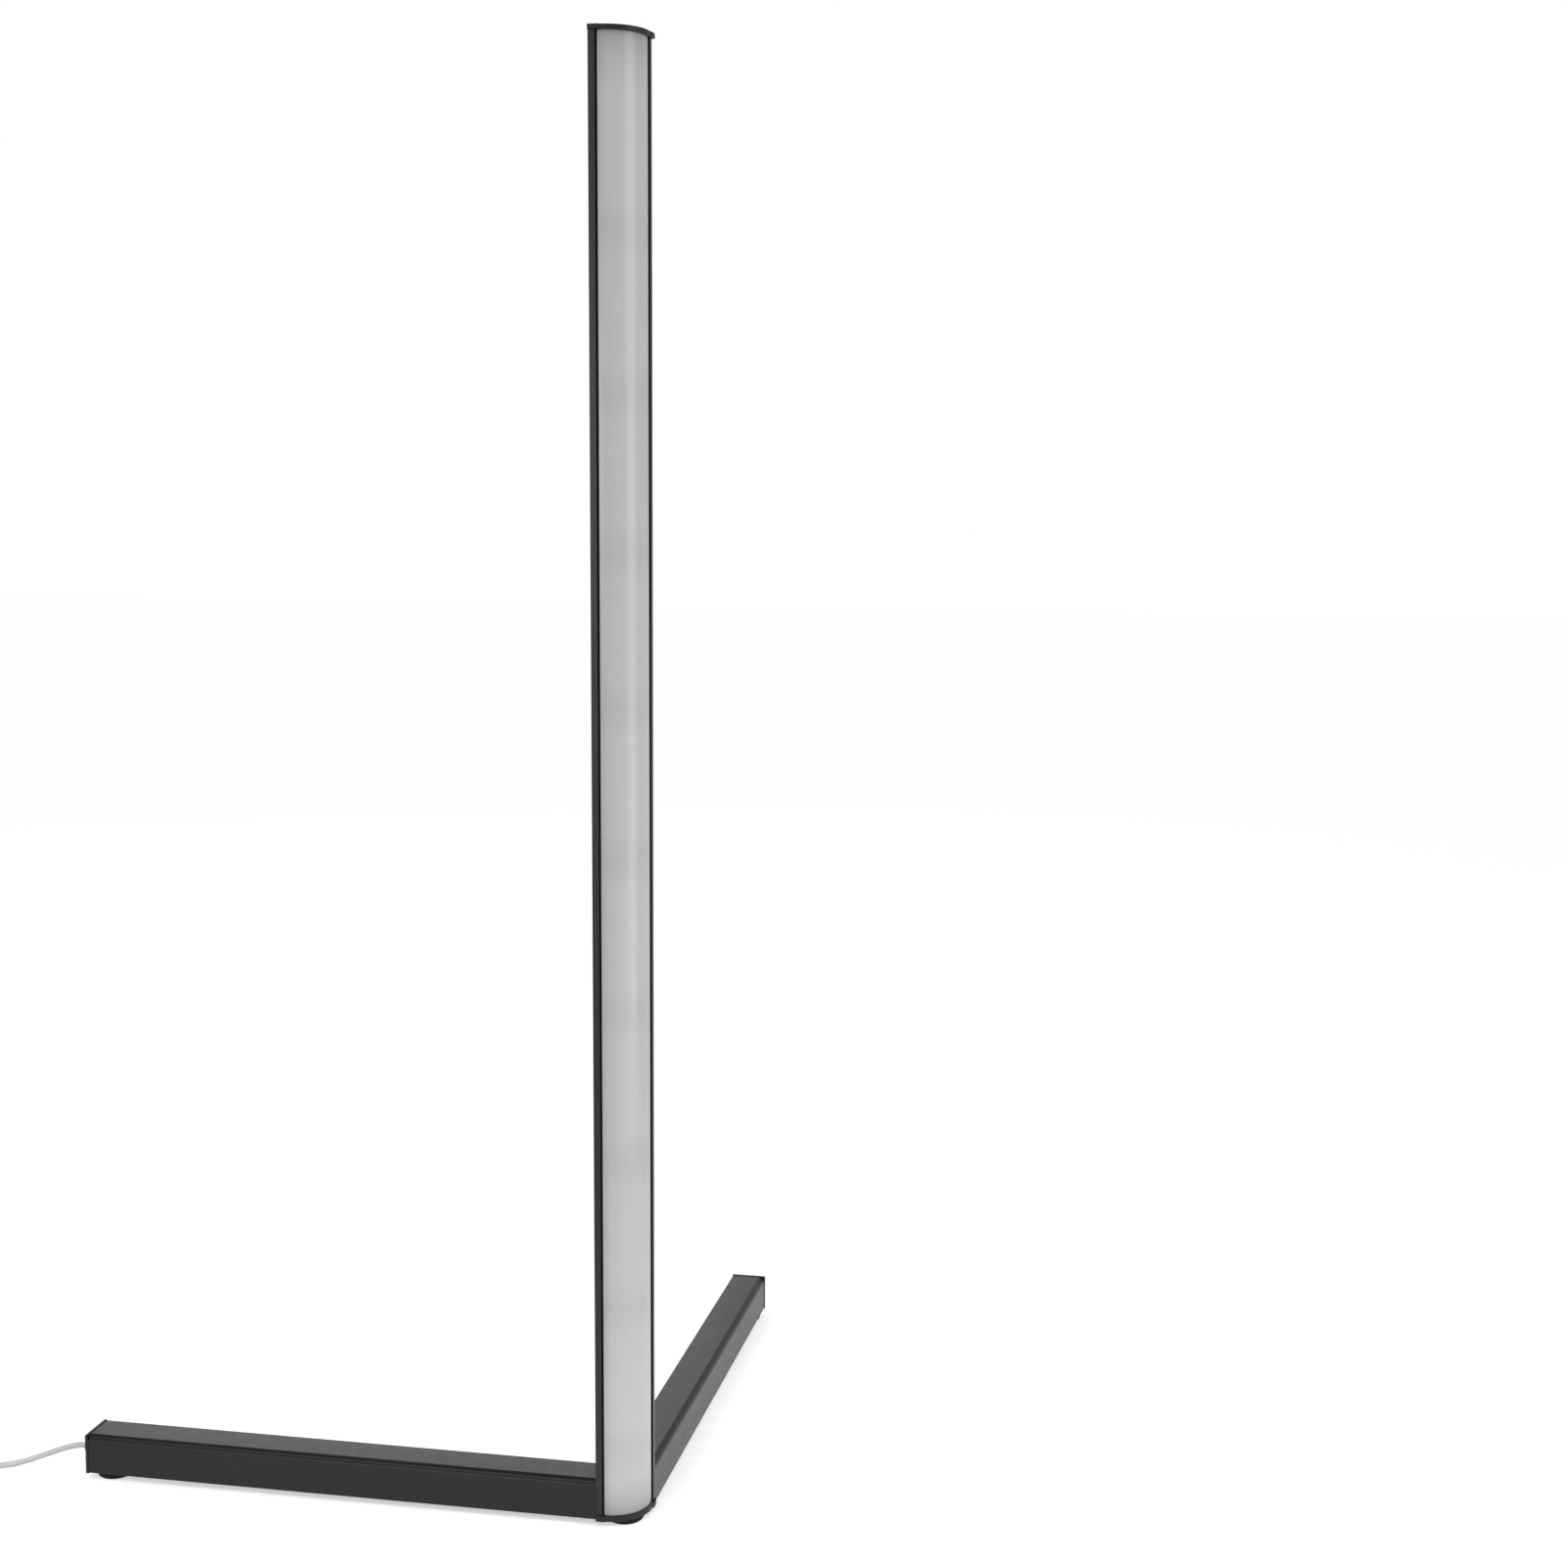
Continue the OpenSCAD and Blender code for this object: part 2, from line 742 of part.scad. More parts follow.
module switch_board() {
  color(board_green) at_switch() {
    translate([-sw_board_w / 2, -sw_board_l / 2, sw_board_z])
      cube([sw_board_w, sw_board_l, sw_board_t]);
    translate([-tact_side / 2, -tact_side / 2, sw_board_z + sw_board_t])
      cube([tact_side, tact_side, tact_h]);
    translate([0, 0, sw_board_z + sw_board_t + tact_h - eps])
      cylinder(h = tact_pin_h, r = tact_pin_r);
  }
}

module switch_button() {
  top = 2 * sw_half_h + button_proud;
  flange_top = 2 * sw_half_h - sw_wall - button_drop;
  color(pale_grey) at_switch() difference() {
    union() {
      translate([0, 0, flange_top - eps]) cylinder(h = top - flange_top, r = button_r);
      translate([0, 0, flange_top - button_flange_t])
        cylinder(h = button_flange_t, r = button_r + button_flange);
    }
    translate([0, 0, top + dish_r - dish_depth]) sphere(dish_r, $fn = arc_fn);
  }
}

// ---- plug ----

module plug_body() {
  color(white) translate([plug_x, plug_y, plug_z]) rotate([90, 0, 0]) difference() {
    union() {
      cylinder(h = plug_neck + eps, r1 = cord_r + plug_lead_in, r2 = plug_h / 2 - plug_lead_in / 5);
      translate([0, 0, plug_neck]) linear_extrude(plug_l - plug_neck)
        round_rect(plug_w, plug_h, plug_corner);
      translate([-shell_w / 2 + tongue_inset, -shell_h / 2 + shell_t + tongue_play, plug_l - eps])
        cube([shell_w - 2 * tongue_inset, tongue_t, shell_l - tongue_inset]);
    }
    translate([0, 0, -eps]) cylinder(h = plug_bore, r = cord_r + cord_play);
  }
}

module plug_shell() {
  color(steel) translate([plug_x, plug_y - plug_l, plug_z]) difference() {
    translate([-shell_w / 2, -shell_l, -shell_h / 2]) cube([shell_w, shell_l, shell_h]);
    translate([-shell_w / 2 + shell_t, -shell_l - past, -shell_h / 2 + shell_t])
      cube([shell_w - 2 * shell_t, shell_l + 2 * past, shell_h - 2 * shell_t]);
  }
}

upright_profile();
diffuser();
led_board();
led_chips();
top_cap();
bottom_cap();
top_cap_screws();
bottom_cap_screws();
left_leg();
rear_leg();
left_end_cap();
rear_end_cap();
left_block();
rear_block();
left_block_screws();
rear_block_screws();
left_tube_screw();
rear_tube_screw();
corner_foot();
left_foot();
rear_foot();
board_pad();
control_board();
inner_lead();
cord_grommet();
cord_lead();
cord_coil();
coil_tie();
cord_tail_a();
cord_tail_b();
switch_lower();
switch_upper();
switch_board();
switch_button();
plug_body();
plug_shell();
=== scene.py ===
import math

import bmesh
import bpy
from mathutils import Matrix, Vector


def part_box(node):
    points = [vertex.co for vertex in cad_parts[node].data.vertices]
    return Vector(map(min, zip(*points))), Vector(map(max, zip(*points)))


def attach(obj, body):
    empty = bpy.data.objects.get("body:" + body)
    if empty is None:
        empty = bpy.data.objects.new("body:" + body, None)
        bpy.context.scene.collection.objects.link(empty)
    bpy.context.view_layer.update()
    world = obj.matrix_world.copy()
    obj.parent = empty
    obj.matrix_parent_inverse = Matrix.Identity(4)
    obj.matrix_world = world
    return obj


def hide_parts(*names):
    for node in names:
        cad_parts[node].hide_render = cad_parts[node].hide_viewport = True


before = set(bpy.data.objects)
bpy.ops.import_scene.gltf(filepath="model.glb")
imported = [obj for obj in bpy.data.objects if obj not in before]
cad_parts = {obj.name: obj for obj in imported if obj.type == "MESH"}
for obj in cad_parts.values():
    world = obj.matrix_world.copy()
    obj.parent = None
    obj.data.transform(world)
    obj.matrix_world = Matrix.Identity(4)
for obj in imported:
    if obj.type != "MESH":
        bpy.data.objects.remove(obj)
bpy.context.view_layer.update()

# A corner lamp: a corner profile with a bowed opal diffuser on two square legs, and its supply cord.
# Metres, +Z up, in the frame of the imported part.

MM = 0.001
TURN = 2 * math.pi

# ---- sizes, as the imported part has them, but for LEG_TOP_R ----

POST_LO, POST_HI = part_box("upright_profile")
HALF = POST_HI.x
POST_WALL = 1.6 * MM
LIP_W = 4.2 * MM
GROOVE_W = 1.1 * MM
LIP_TURN = 2.8 * MM
LIP_TURN_T = 1.1 * MM
POST_EDGE_R = 0.4 * MM
LIP_EDGE_R = 0.3 * MM
WEB_U = -0.4 * HALF
WEB_T = 1.4 * MM
BOSS_NEAR = 3.6 * MM
BOSS_FAR = 10.8 * MM
BOSS_R = 2.2 * MM
PILOT_R = 1.25 * MM

DIFFUSER_WALL = 1.4 * MM
DIFFUSER_X = -HALF + LIP_W + GROOVE_W
DIFFUSER_Y = -HALF + 1 * MM
HALF_CHORD = -(DIFFUSER_X + DIFFUSER_Y) / math.sqrt(2)
CHORD_U = (DIFFUSER_X - DIFFUSER_Y) / math.sqrt(2)
BOW_R = 1.35 * HALF_CHORD
BOW_X = (CHORD_U - math.sqrt(BOW_R**2 - HALF_CHORD**2)) / math.sqrt(2)
BOW = Vector((BOW_X, -BOW_X))
BARB_REACH = 2.4 * MM
BARB_TIP = 0.7 * MM
BARB_ROOT = 1.8 * MM
BARB_ROOT_R = 0.2 * MM
BARB_TIP_R = 0.1 * MM
DIFFUSER_EDGE_R = 0.25 * MM

CAP_OVER = 1 * MM
CAP_SHIFT = 0.8 * MM
CAP_EDGE = 0.35 * MM
CAP_CORNER_R = 0.8 * MM
CAP_BOW_FROM = DIFFUSER_X + 1.5 * MM
PAD_H = 5 * MM
PAD_HALF_W = 9 * MM
PAD_GAP = 0.3 * MM
TOP_CAP_LO, TOP_CAP_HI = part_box("top_cap")
BASE_CAP_LO, BASE_CAP_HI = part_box("bottom_cap")

HEAD_R = 2.8 * MM
HEAD_H = 1.5 * MM
HEAD_EDGE = 0.15 * MM
HEAD_STEPS = 32
CAP_HEAD_GAP = 0.12 * MM
TUBE_HEAD_GAP = 0.1 * MM
SHANK_R = 1.35 * MM
RECESS_R = 1.7 * MM
RECESS_SLOT = 0.75 * MM
RECESS_FLOOR_R = 0.9 * MM
RECESS_FLOOR_SLOT = 0.55 * MM
RECESS_DEPTH = 1 * MM
CAP_SCREW_LEN = 12 * MM
TUBE_SCREW_LEN = 7 * MM
TUBE_SCREW_IN = 15 * MM
TUBE_SCREW_OUT = 9 * MM
BLOCK_SCREW_IN = 6.8 * MM
BLOCK_SCREW_R = 1.95 * MM
BLOCK_SCREW_GAP = 12 * MM
WIRE_HOLE_R = 1.7 * MM

LEG_LO, LEG_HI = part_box("left_leg")
LEG_SIDE = LEG_HI.z - LEG_LO.z
LEG_BASE = LEG_LO.z
LEG_WALL = 1.5 * MM
LEG_LEN = LEG_HI.x - LEG_LO.x
LEG_TOP_R = 4.5 * MM  # 3.5 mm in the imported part; the photo shows a band as wide as this
LEG_EDGE_R = 0.5 * MM
LEG_RIM = 0.25 * MM
PLATE_T = 2 * MM
PLATE_PROUD = 0.4 * MM
PLATE_CORNER_R = 0.6 * MM
PLATE_RIM = 0.4 * MM
INSERT_LEN = 10 * MM
INSERT_WALL = 1.6 * MM
INSERT_GAP = 0.1 * MM
CORD_HOLE_R = 4 * MM

FOOT_R = 11.5 * MM
FOOT_EDGE_R = 1.6 * MM
FOOT_TOP_R = 0.4 * MM
FOOT_GROOVE_R = 7.5 * MM
FOOT_GROOVE_HALF = 0.6 * MM
FOOT_GROOVE_DEPTH = 0.4 * MM

# Frames of the legs: X from the outer face inwards, Y up, Z out along the leg.
REAR_LEG = Matrix(((-1, 0, 0, HALF), (0, 0, 1, HALF), (0, 1, 0, LEG_BASE), (0, 0, 0, 1)))
LEFT_LEG = Matrix(((0, 0, -1, -HALF), (1, 0, 0, -HALF), (0, 1, 0, LEG_BASE), (0, 0, 0, 1)))

# ---- the cord's route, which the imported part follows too; the lists of points are in millimetres ----

CORD_R = 1.8 * MM
EXIT = Vector((-355, -2.5, 16.5)) * MM
LEAD_ROUTE = [
    (-333, -2.5, 10.4), (-338, -2.5, 11), (-343, -2.5, 15), (-347, -2.5, 16.5), (-351, -2.5, 16.5),
    (-363, -2.5, 16.5), (-367, -2.6, 16.2), (-377, -3.5, 13.5), (-393, -5.5, 7.5), (-409, -9.5, 2.8),
    (-427, -15, 1.8), (-445, -21, 1.8), (-461, -23.8, 2.2), (-470, -24, 2.4), (-474.4, -24, 2.4),
]
COIL = Vector((-478, 6, 2.4)) * MM
COIL_R0 = 30 * MM
COIL_PITCH = 4.3 * MM
COIL_DIP = 0.6 * MM
COIL_TURNS = 10.25
TURNS_IN = 4.75
TURNS_CLIMB = 0.5
COIL_STEPS = 40
COIL_R_IN = COIL_R0 - COIL_PITCH * TURNS_IN
COIL_R_END = COIL_R_IN + COIL_PITCH * (COIL_TURNS - TURNS_IN - TURNS_CLIMB)
RUN_X = COIL.x - COIL_R_END
TAIL_A_ROUTE = [(0, 9.6, 6.7), (0, 17, 6.7), (0, 28, 6), (0, 46, 6)]
TAIL_B_ROUTE = [
    (0, 88, 6), (0, 95, 6), (0, 102, 5.8), (-3, 109, 5.4), (-11.5, 113, 5),
    (-20, 109, 4.5), (-23, 101, 4.5), (-23, 81, 4.5),
]

# ---- outlines in a plane ----

CORNER_STEPS = 3
RIM_STEPS = 3
SMOOTH_UP_TO = math.radians(40)


def circle(radius, steps=32, centre=(0, 0)):
    turns = [TURN * k / steps for k in range(steps)]
    return [Vector((centre[0] + radius * math.cos(a), centre[1] + radius * math.sin(a))) for a in turns]


def rounded(corners, steps=CORNER_STEPS):
    """Outline through corners given as (x, y, radius)."""
    outline = []
    for i, (x, y, radius) in enumerate(corners):
        here = Vector((x, y))
        if radius == 0:
            outline.append(here)
            continue
        back = (Vector(corners[i - 1][:2]) - here).normalized()
        ahead = (Vector(corners[(i + 1) % len(corners)][:2]) - here).normalized()
        half = back.angle(ahead) / 2
        centre = here + (back + ahead).normalized() * (radius / math.sin(half))
        start = here + back * (radius / math.tan(half)) - centre
        end = here + ahead * (radius / math.tan(half)) - centre
        sweep = math.atan2(start.x * end.y - start.y * end.x, start.dot(end))
        for k in range(steps + 1):
            outline.append(centre + Matrix.Rotation(sweep * k / steps, 2) @ start)
    return outline


def round_rect(width, length, radius, steps=6):
    x, y = width / 2, length / 2
    return rounded([(-x, -y, radius), (x, -y, radius), (x, y, radius), (-x, y, radius)], steps)


def mirrored(corners):
    """The same corners across the diagonal plane of the upright, in the order that closes an outline."""
    return [(-y, -x, r) for x, y, r in reversed(corners)]


def bow_arc(radius, start_x, steps=40):
    """Arc about the diffuser's centre, from where x is start_x round to its mirror image."""
    first = math.asin((start_x - BOW.x) / radius) - math.pi / 2
    last = -math.pi / 2 - first
    angles = [first + (last - first) * k / steps for k in range(steps + 1)]
    return [(BOW.x + radius * math.cos(a), BOW.y + radius * math.sin(a), 0) for a in angles]


# ---- meshes ----


def ring(bm, points):
    return [bm.verts.new(p) for p in points]


def join_rings(bm, first, second):
    for i in range(len(first)):
        j = (i + 1) % len(first)
        bm.faces.new((first[i], first[j], second[j], second[i]))


def inset(outline, by):
    """The closed outline, moved inwards."""
    if by == 0:
        return outline
    area = sum(p.x * q.y - p.y * q.x for p, q in zip(outline, outline[1:] + outline[:1]))
    by = math.copysign(by, area)
    moved = []
    for i, here in enumerate(outline):
        back = (here - outline[i - 1]).normalized()
        ahead = (outline[(i + 1) % len(outline)] - here).normalized()
        inward = Vector((-back.y - ahead.y, back.x + ahead.x)).normalized()
        moved.append(here + inward * (by / inward.dot(Vector((-back.y, back.x)))))
    return moved


def prism(bm, outlines, z0, z1, edge=0):
    """Straight prism over the first outline, its rims rounded by edge, with the others as holes."""
    ends = ([], [])
    turns = [math.radians(90 * k / RIM_STEPS) for k in range(RIM_STEPS + 1)] if edge else []
    rim = [(edge * (1 - math.sin(a)), edge * (1 - math.cos(a))) for a in turns] or [(0, 0)]
    for outline in outlines:
        steps = [(by, z0 + rise) for by, rise in rim] + [(by, z1 - rise) for by, rise in reversed(rim)]
        rings = [ring(bm, [(p[0], p[1], z) for p in inset(outline, by)]) for by, z in steps]
        for first, second in zip(rings, rings[1:]):
            join_rings(bm, first, second)
        for edges, verts in zip(ends, (rings[0], rings[-1])):
            edges += [bm.edges.get((verts[i - 1], verts[i])) for i in range(len(verts))]
        rim = [(0, 0)]
    for edges in ends:
        bmesh.ops.triangle_fill(bm, use_beauty=True, use_dissolve=True, edges=edges)


def add(target, extra):
    """Adds the mesh extra to target."""
    mesh = bpy.data.meshes.new("extra")
    extra.to_mesh(mesh)
    extra.free()
    target.from_mesh(mesh)
    bpy.data.meshes.remove(mesh)


def loft(bm, rings):
    """Closed skin through rings of equal count, with a flat face on the first and on the last."""
    made = [ring(bm, points) for points in rings]
    for first, second in zip(made, made[1:]):
        join_rings(bm, first, second)
    bm.faces.new(made[0])
    bm.faces.new(made[-1])


def revolve(bm, profile, steps=48):
    """Solid about Z through (radius, z) points that start and end on the axis or close on themselves."""
    made = []
    for radius, z in profile:
        outline = [(0, 0)] if radius == 0 else circle(radius, steps)
        made.append(ring(bm, [(*p, z) for p in outline]))
    closed = len(made[0]) > 1
    for first, second in zip(made, made[1:] + (made[:1] if closed else [])):
        if len(first) > 1 and len(second) > 1:
            join_rings(bm, first, second)
            continue
        tip, base = (first, second) if len(first) == 1 else (second, first)
        for i in range(len(base)):
            bm.faces.new((tip[0], base[i - 1], base[i]))


def arc(centre_r, centre_z, radius, start, end, steps=5):
    """Points of an arc for a revolved profile, its angles in degrees."""
    angles = [math.radians(start + (end - start) * k / steps) for k in range(steps + 1)]
    return [(centre_r + radius * math.cos(a), centre_z + radius * math.sin(a)) for a in angles]


def piece(name, bm, material, replaces=(), place=None, body="lamp"):
    """Turns the mesh into a piece that rides on a body and stands for its CAD nodes."""
    if place is not None:
        bm.transform(place)
    bmesh.ops.recalc_face_normals(bm, faces=bm.faces)
    for face in bm.faces:
        face.smooth = True
    for edge in bm.edges:
        edge.smooth = edge.calc_face_angle(0) < SMOOTH_UP_TO
    mesh = bpy.data.meshes.new(name)
    bm.to_mesh(mesh)
    bm.free()
    mesh.materials.append(material)
    made = bpy.data.objects.new(name, mesh)
    bpy.context.scene.collection.objects.link(made)
    normals = made.modifiers.new("even_normals", "WEIGHTED_NORMAL")
    normals.keep_sharp = True
    if replaces:
        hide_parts(*replaces)
    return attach(made, body)


def carve(bm, cutters):
    """Cuts the closed meshes of cutters out of bm and returns the result."""
    objects = []
    for part in (bm, cutters):
        bmesh.ops.recalc_face_normals(part, faces=part.faces)
        mesh = bpy.data.meshes.new("carve")
        part.to_mesh(mesh)
        part.free()
        made = bpy.data.objects.new("carve", mesh)
        bpy.context.scene.collection.objects.link(made)
        objects.append(made)
    cut = objects[0].modifiers.new("cut", "BOOLEAN")
    cut.operation = "DIFFERENCE"
    cut.solver = "EXACT"
    cut.object = objects[1]
    result = bmesh.new()
    result.from_object(objects[0], bpy.context.evaluated_depsgraph_get())
    for made in objects:
        mesh = made.data
        bpy.data.objects.remove(made)
        bpy.data.meshes.remove(mesh)
    return result


# ---- materials ----

# OPAL_DEPTH_SHARE of the light scatters OPAL_DEPTH deep in the opal. Painted shade takes a share
# _PAINTED_SHADE of its colour over a distance _ZONE at each end and each side. HOOK_SHADE_SHARE and
# STRIPE_SHADOW_SHARE of it are left under painted shade at the hooks and in the darkest painted
# shadow stripes, and GROOVE_SHADE_SHARE of the profile's black is left under painted shade in the grooves.
RELIEF = 0.6
OPAL_DEPTH = 2 * MM
OPAL_DEPTH_SHARE = 0.15
END_FALL = 2.5
LOW_ZONE = 36 * MM
LOW_PAINTED_SHADE = 0.42
HIGH_ZONE = 30 * MM
HIGH_PAINTED_SHADE = 0.42
SIDE_ZONE = 5 * MM
SIDE_PAINTED_SHADE = 0.14
HOOK_FROM = 0.02 * MM
HOOK_TO = 0.03 * MM
HOOK_SHADE_SHARE = 0.03
DULL_SHADE_FROM = 0.05 * MM
DULL_SHADE_TO = 0.15 * MM
GROOVE_SHADE_SHARE = 0.2
STRIPE_PITCH = 92 * MM
STRIPE_SCALE = TURN / (20 * STRIPE_PITCH)  # a wave texture of scale 1 turns by 20 in a metre
STRIPE_WAVER = 0.4
STRIPE_FROM = 0.75
STRIPE_SHADOW_SHARE = 0.94
ALONG_Z = (1, 1, 0.03)


def set_inputs(tree, node, inputs):
    """Sets inputs of a node, each to a plain value or to the output of another node."""
    for key, value in inputs.items():
        if isinstance(value, bpy.types.NodeSocket):
            tree.links.new(value, node.inputs[key])
        else:
            node.inputs[key].default_value = value


def add_node(tree, kind, inputs, **settings):
    node = tree.nodes.new("ShaderNode" + kind)
    for key, value in settings.items():
        setattr(node, key, value)
    set_inputs(tree, node, inputs)
    return node


def maths(tree, operation, first, second):
    return add_node(tree, "Math", {0: first, 1: second}, operation=operation).outputs[0]


def ramp(tree, value, start, end, low, high, curve="LINEAR"):
    """Goes from low to high while value goes from start to end."""
    limits = {"Value": value, "From Min": start, "From Max": end, "To Min": low, "To Max": high}
    return add_node(tree, "MapRange", limits, interpolation_type=curve).outputs["Result"]


def surface(name, dark, light, grain=60, stretch=(1, 1, 1), rough=(0.35, 0.45), fine=1500,
            bump=0.00001, metallic=0.0, specular=0.5, sheen=0.0):
    """Surface whose colour, gloss and fine relief follow noise in the part's own frame."""
    material = bpy.data.materials.new(name)
    material.use_nodes = True
    tree = material.node_tree
    place = add_node(tree, "TexCoord", {}).outputs["Object"]
    place = add_node(tree, "Mapping", {"Scale": stretch, "Vector": place}).outputs["Vector"]
    clouds = add_node(tree, "TexNoise", {"Scale": grain, "Detail": 5, "Vector": place}).outputs["Fac"]
    pores = add_node(tree, "TexNoise", {"Scale": fine, "Detail": 3, "Vector": place}).outputs["Fac"]
    shades = {"A": (*dark, 1), "B": (*light, 1), "Factor": clouds}
    relief = {"Strength": RELIEF, "Distance": bump, "Height": pores}
    set_inputs(tree, tree.nodes["Principled BSDF"], {
        "Base Color": add_node(tree, "Mix", shades, data_type="RGBA").outputs["Result"],
        "Roughness": ramp(tree, clouds, 0, 1, *rough),
        "Normal": add_node(tree, "Bump", relief).outputs["Normal"],
        "Metallic": metallic,
        "Specular IOR Level": specular,
        "Sheen Weight": sheen,
    })
    return material


def part_axes(tree):
    """X, Y and Z of the shaded point in the part's own frame."""
    place = tree.nodes["Texture Coordinate"].outputs["Object"]
    return add_node(tree, "SeparateXYZ", {0: place}).outputs


def outwardness(tree):
    """How far the point lies from the post's middle, towards the nearer of the two flanks."""
    axes = part_axes(tree)
    return maths(tree, "MAXIMUM", maths(tree, "MULTIPLY", axes["X"], -1), axes["Y"])


def painted_end_shade(tree, height):
    """Painted shade near the ends: the share of the colour that is left there, darker towards each end."""
    shares = []
    for end, zone, loss in ((POST_LO.z, LOW_ZONE, LOW_PAINTED_SHADE), (POST_HI.z, -HIGH_ZONE, HIGH_PAINTED_SHADE)):
        near = ramp(tree, height, end, end + zone, 1, 0)
        lost = maths(tree, "MULTIPLY", maths(tree, "POWER", near, END_FALL), loss)
        shares.append(maths(tree, "SUBTRACT", 1, lost))
    return maths(tree, "MULTIPLY", *shares)


def scale_colour(tree, share):
    """Scales the surface's colour by share."""
    shader = tree.nodes["Principled BSDF"]
    colour = shader.inputs["Base Color"].links[0].from_socket
    scaled = add_node(tree, "VectorMath", {0: colour, "Scale": share}, operation="SCALE")
    set_inputs(tree, shader, {"Base Color": scaled.outputs["Vector"]})


def extrusion():
    """Satin black of the corner profile, left dull and darkened by painted shade where the lips face the
    diffuser's grooves.
    """
    material = surface("black_profile", (0.014, 0.014, 0.015), (0.020, 0.020, 0.021), grain=90,
                       stretch=ALONG_Z, rough=(0.30, 0.40), fine=2600, bump=0.000006, specular=0.35)
    tree = material.node_tree
    lip_side = HALF - LIP_W
    # Painted shade: the lips' faces in the grooves get a darker colour, and they are also rougher there.
    dull_and_shade = ramp(tree, outwardness(tree), lip_side + DULL_SHADE_FROM, lip_side + DULL_SHADE_TO, 1, 0)
    scale_colour(tree, ramp(tree, dull_and_shade, 0, 1, 1, GROOVE_SHADE_SHARE))
    shader = tree.nodes["Principled BSDF"]
    rough = shader.inputs["Roughness"].links[0].from_socket
    set_inputs(tree, shader, {"Roughness": maths(tree, "MAXIMUM", rough, dull_and_shade)})
    return material


def opal():
    """Opal plastic with painted shade at its ends, its sides and its hooks, and faint painted shadow stripes
    across.
    """
    material = surface("opal", (0.59, 0.59, 0.60), (0.63, 0.63, 0.64), grain=12, rough=(0.22, 0.28),
                       fine=900, bump=0.000004, specular=0.5)
    tree = material.node_tree
    place = tree.nodes["Texture Coordinate"].outputs["Object"]
    # Painted shadow: faint darker stripes across, standing for the shadows of the parts behind the opal.
    wave = {"Scale": STRIPE_SCALE, "Distortion": STRIPE_WAVER, "Detail": 1, "Vector": place}
    stripe_shadow_wave = add_node(tree, "TexWave", wave, bands_direction="Z").outputs["Fac"]
    stripe_shadow = ramp(tree, stripe_shadow_wave, STRIPE_FROM, 1, 1, STRIPE_SHADOW_SHARE)
    outward = outwardness(tree)
    flank = -DIFFUSER_X
    # Painted shade: the opal's colour darkens towards each side, next to the black lips.
    side = ramp(tree, outward, flank - SIDE_ZONE, flank, 1, 1 - SIDE_PAINTED_SHADE)
    # Painted shade: the opal is made dark at the hooks, down in the grooves.
    hook = ramp(tree, outward, flank + HOOK_FROM, flank + HOOK_TO, 1, HOOK_SHADE_SHARE)
    share = maths(tree, "MULTIPLY", maths(tree, "MULTIPLY", stripe_shadow, side), hook)
    # Painted shade: all these shares darken the opal's colour, and it gets darker towards both ends.
    scale_colour(tree, maths(tree, "MULTIPLY", share, painted_end_shade(tree, part_axes(tree)["Z"])))
    set_inputs(tree, tree.nodes["Principled BSDF"], {
        "Subsurface Weight": OPAL_DEPTH_SHARE,
        "Subsurface Radius": (1, 1, 1),
        "Subsurface Scale": OPAL_DEPTH,
    })
    return material


BLACK_PROFILE = extrusion()
BLACK_TUBE = surface("black_tube", (0.008, 0.008, 0.0085), (0.016, 0.016, 0.017), grain=260,
                     rough=(0.26, 0.44), fine=1800, bump=0.000012, specular=0.3)
BLACK_CAP = surface("black_cap", (0.010, 0.010, 0.010), (0.016, 0.016, 0.017), grain=120,
                    rough=(0.36, 0.48), fine=2200, bump=0.00001, specular=0.3)
OPAL = opal()
RUBBER = surface("foot_rubber", (0.010, 0.010, 0.010), (0.020, 0.020, 0.020), grain=200,
                 rough=(0.7, 0.85), fine=2500, bump=0.00003, specular=0.12)
BLACK_SCREW = surface("black_screw", (0.03, 0.03, 0.03), (0.06, 0.06, 0.06), grain=300,
                      rough=(0.30, 0.42), fine=3000, bump=0.00001, metallic=0.6)
STEEL = surface("steel", (0.50, 0.51, 0.53), (0.62, 0.63, 0.65), grain=400, stretch=(1, 0.1, 1),
                rough=(0.25, 0.36), fine=3000, bump=0.000006, metallic=1.0)
CAST = surface("cast_block", (0.50, 0.51, 0.52), (0.62, 0.63, 0.64), grain=300,
               rough=(0.5, 0.65), fine=1600, bump=0.00004, metallic=0.9)
BOARD_WHITE = surface("board_white", (0.84, 0.84, 0.82), (0.90, 0.90, 0.88), grain=200, rough=(0.45, 0.55))
CHIP_AMBER = surface("chip_amber", (0.85, 0.70, 0.25), (0.93, 0.80, 0.36), grain=500, rough=(0.2, 0.3))
BOARD_GREEN = surface("board_green", (0.03, 0.16, 0.07), (0.06, 0.24, 0.11), grain=250, rough=(0.3, 0.45))
WIRE_RED = surface("wire_red", (0.50, 0.05, 0.04), (0.62, 0.08, 0.06), grain=120, rough=(0.3, 0.4))
FOAM = surface("foam", (0.70, 0.70, 0.68), (0.84, 0.84, 0.81), grain=900, rough=(0.9, 1.0),
               bump=0.0001, specular=0.2)
CORD_WHITE = surface("cord_white", (0.74, 0.74, 0.73), (0.80, 0.80, 0.79), grain=50,
                     rough=(0.38, 0.48), fine=1400, bump=0.00001)
SWITCH_WHITE = surface("switch_white", (0.78, 0.78, 0.77), (0.83, 0.83, 0.82), grain=35,
                       rough=(0.30, 0.38), fine=2400, bump=0.000006)
KEY_GREY = surface("key_grey", (0.52, 0.52, 0.52), (0.60, 0.60, 0.60), grain=60,
                   rough=(0.35, 0.45), fine=2400, bump=0.000008)
TIE_BLACK = surface("tie_black", (0.012, 0.012, 0.012), (0.035, 0.035, 0.035), grain=1400,
                    rough=(0.8, 0.95), fine=2200, bump=0.00015, specular=0.2, sheen=0.4)
GOLD = surface("gold", (0.80, 0.58, 0.22), (0.88, 0.66, 0.28), grain=500, rough=(0.2, 0.3), metallic=1.0)

# ---- upright ----


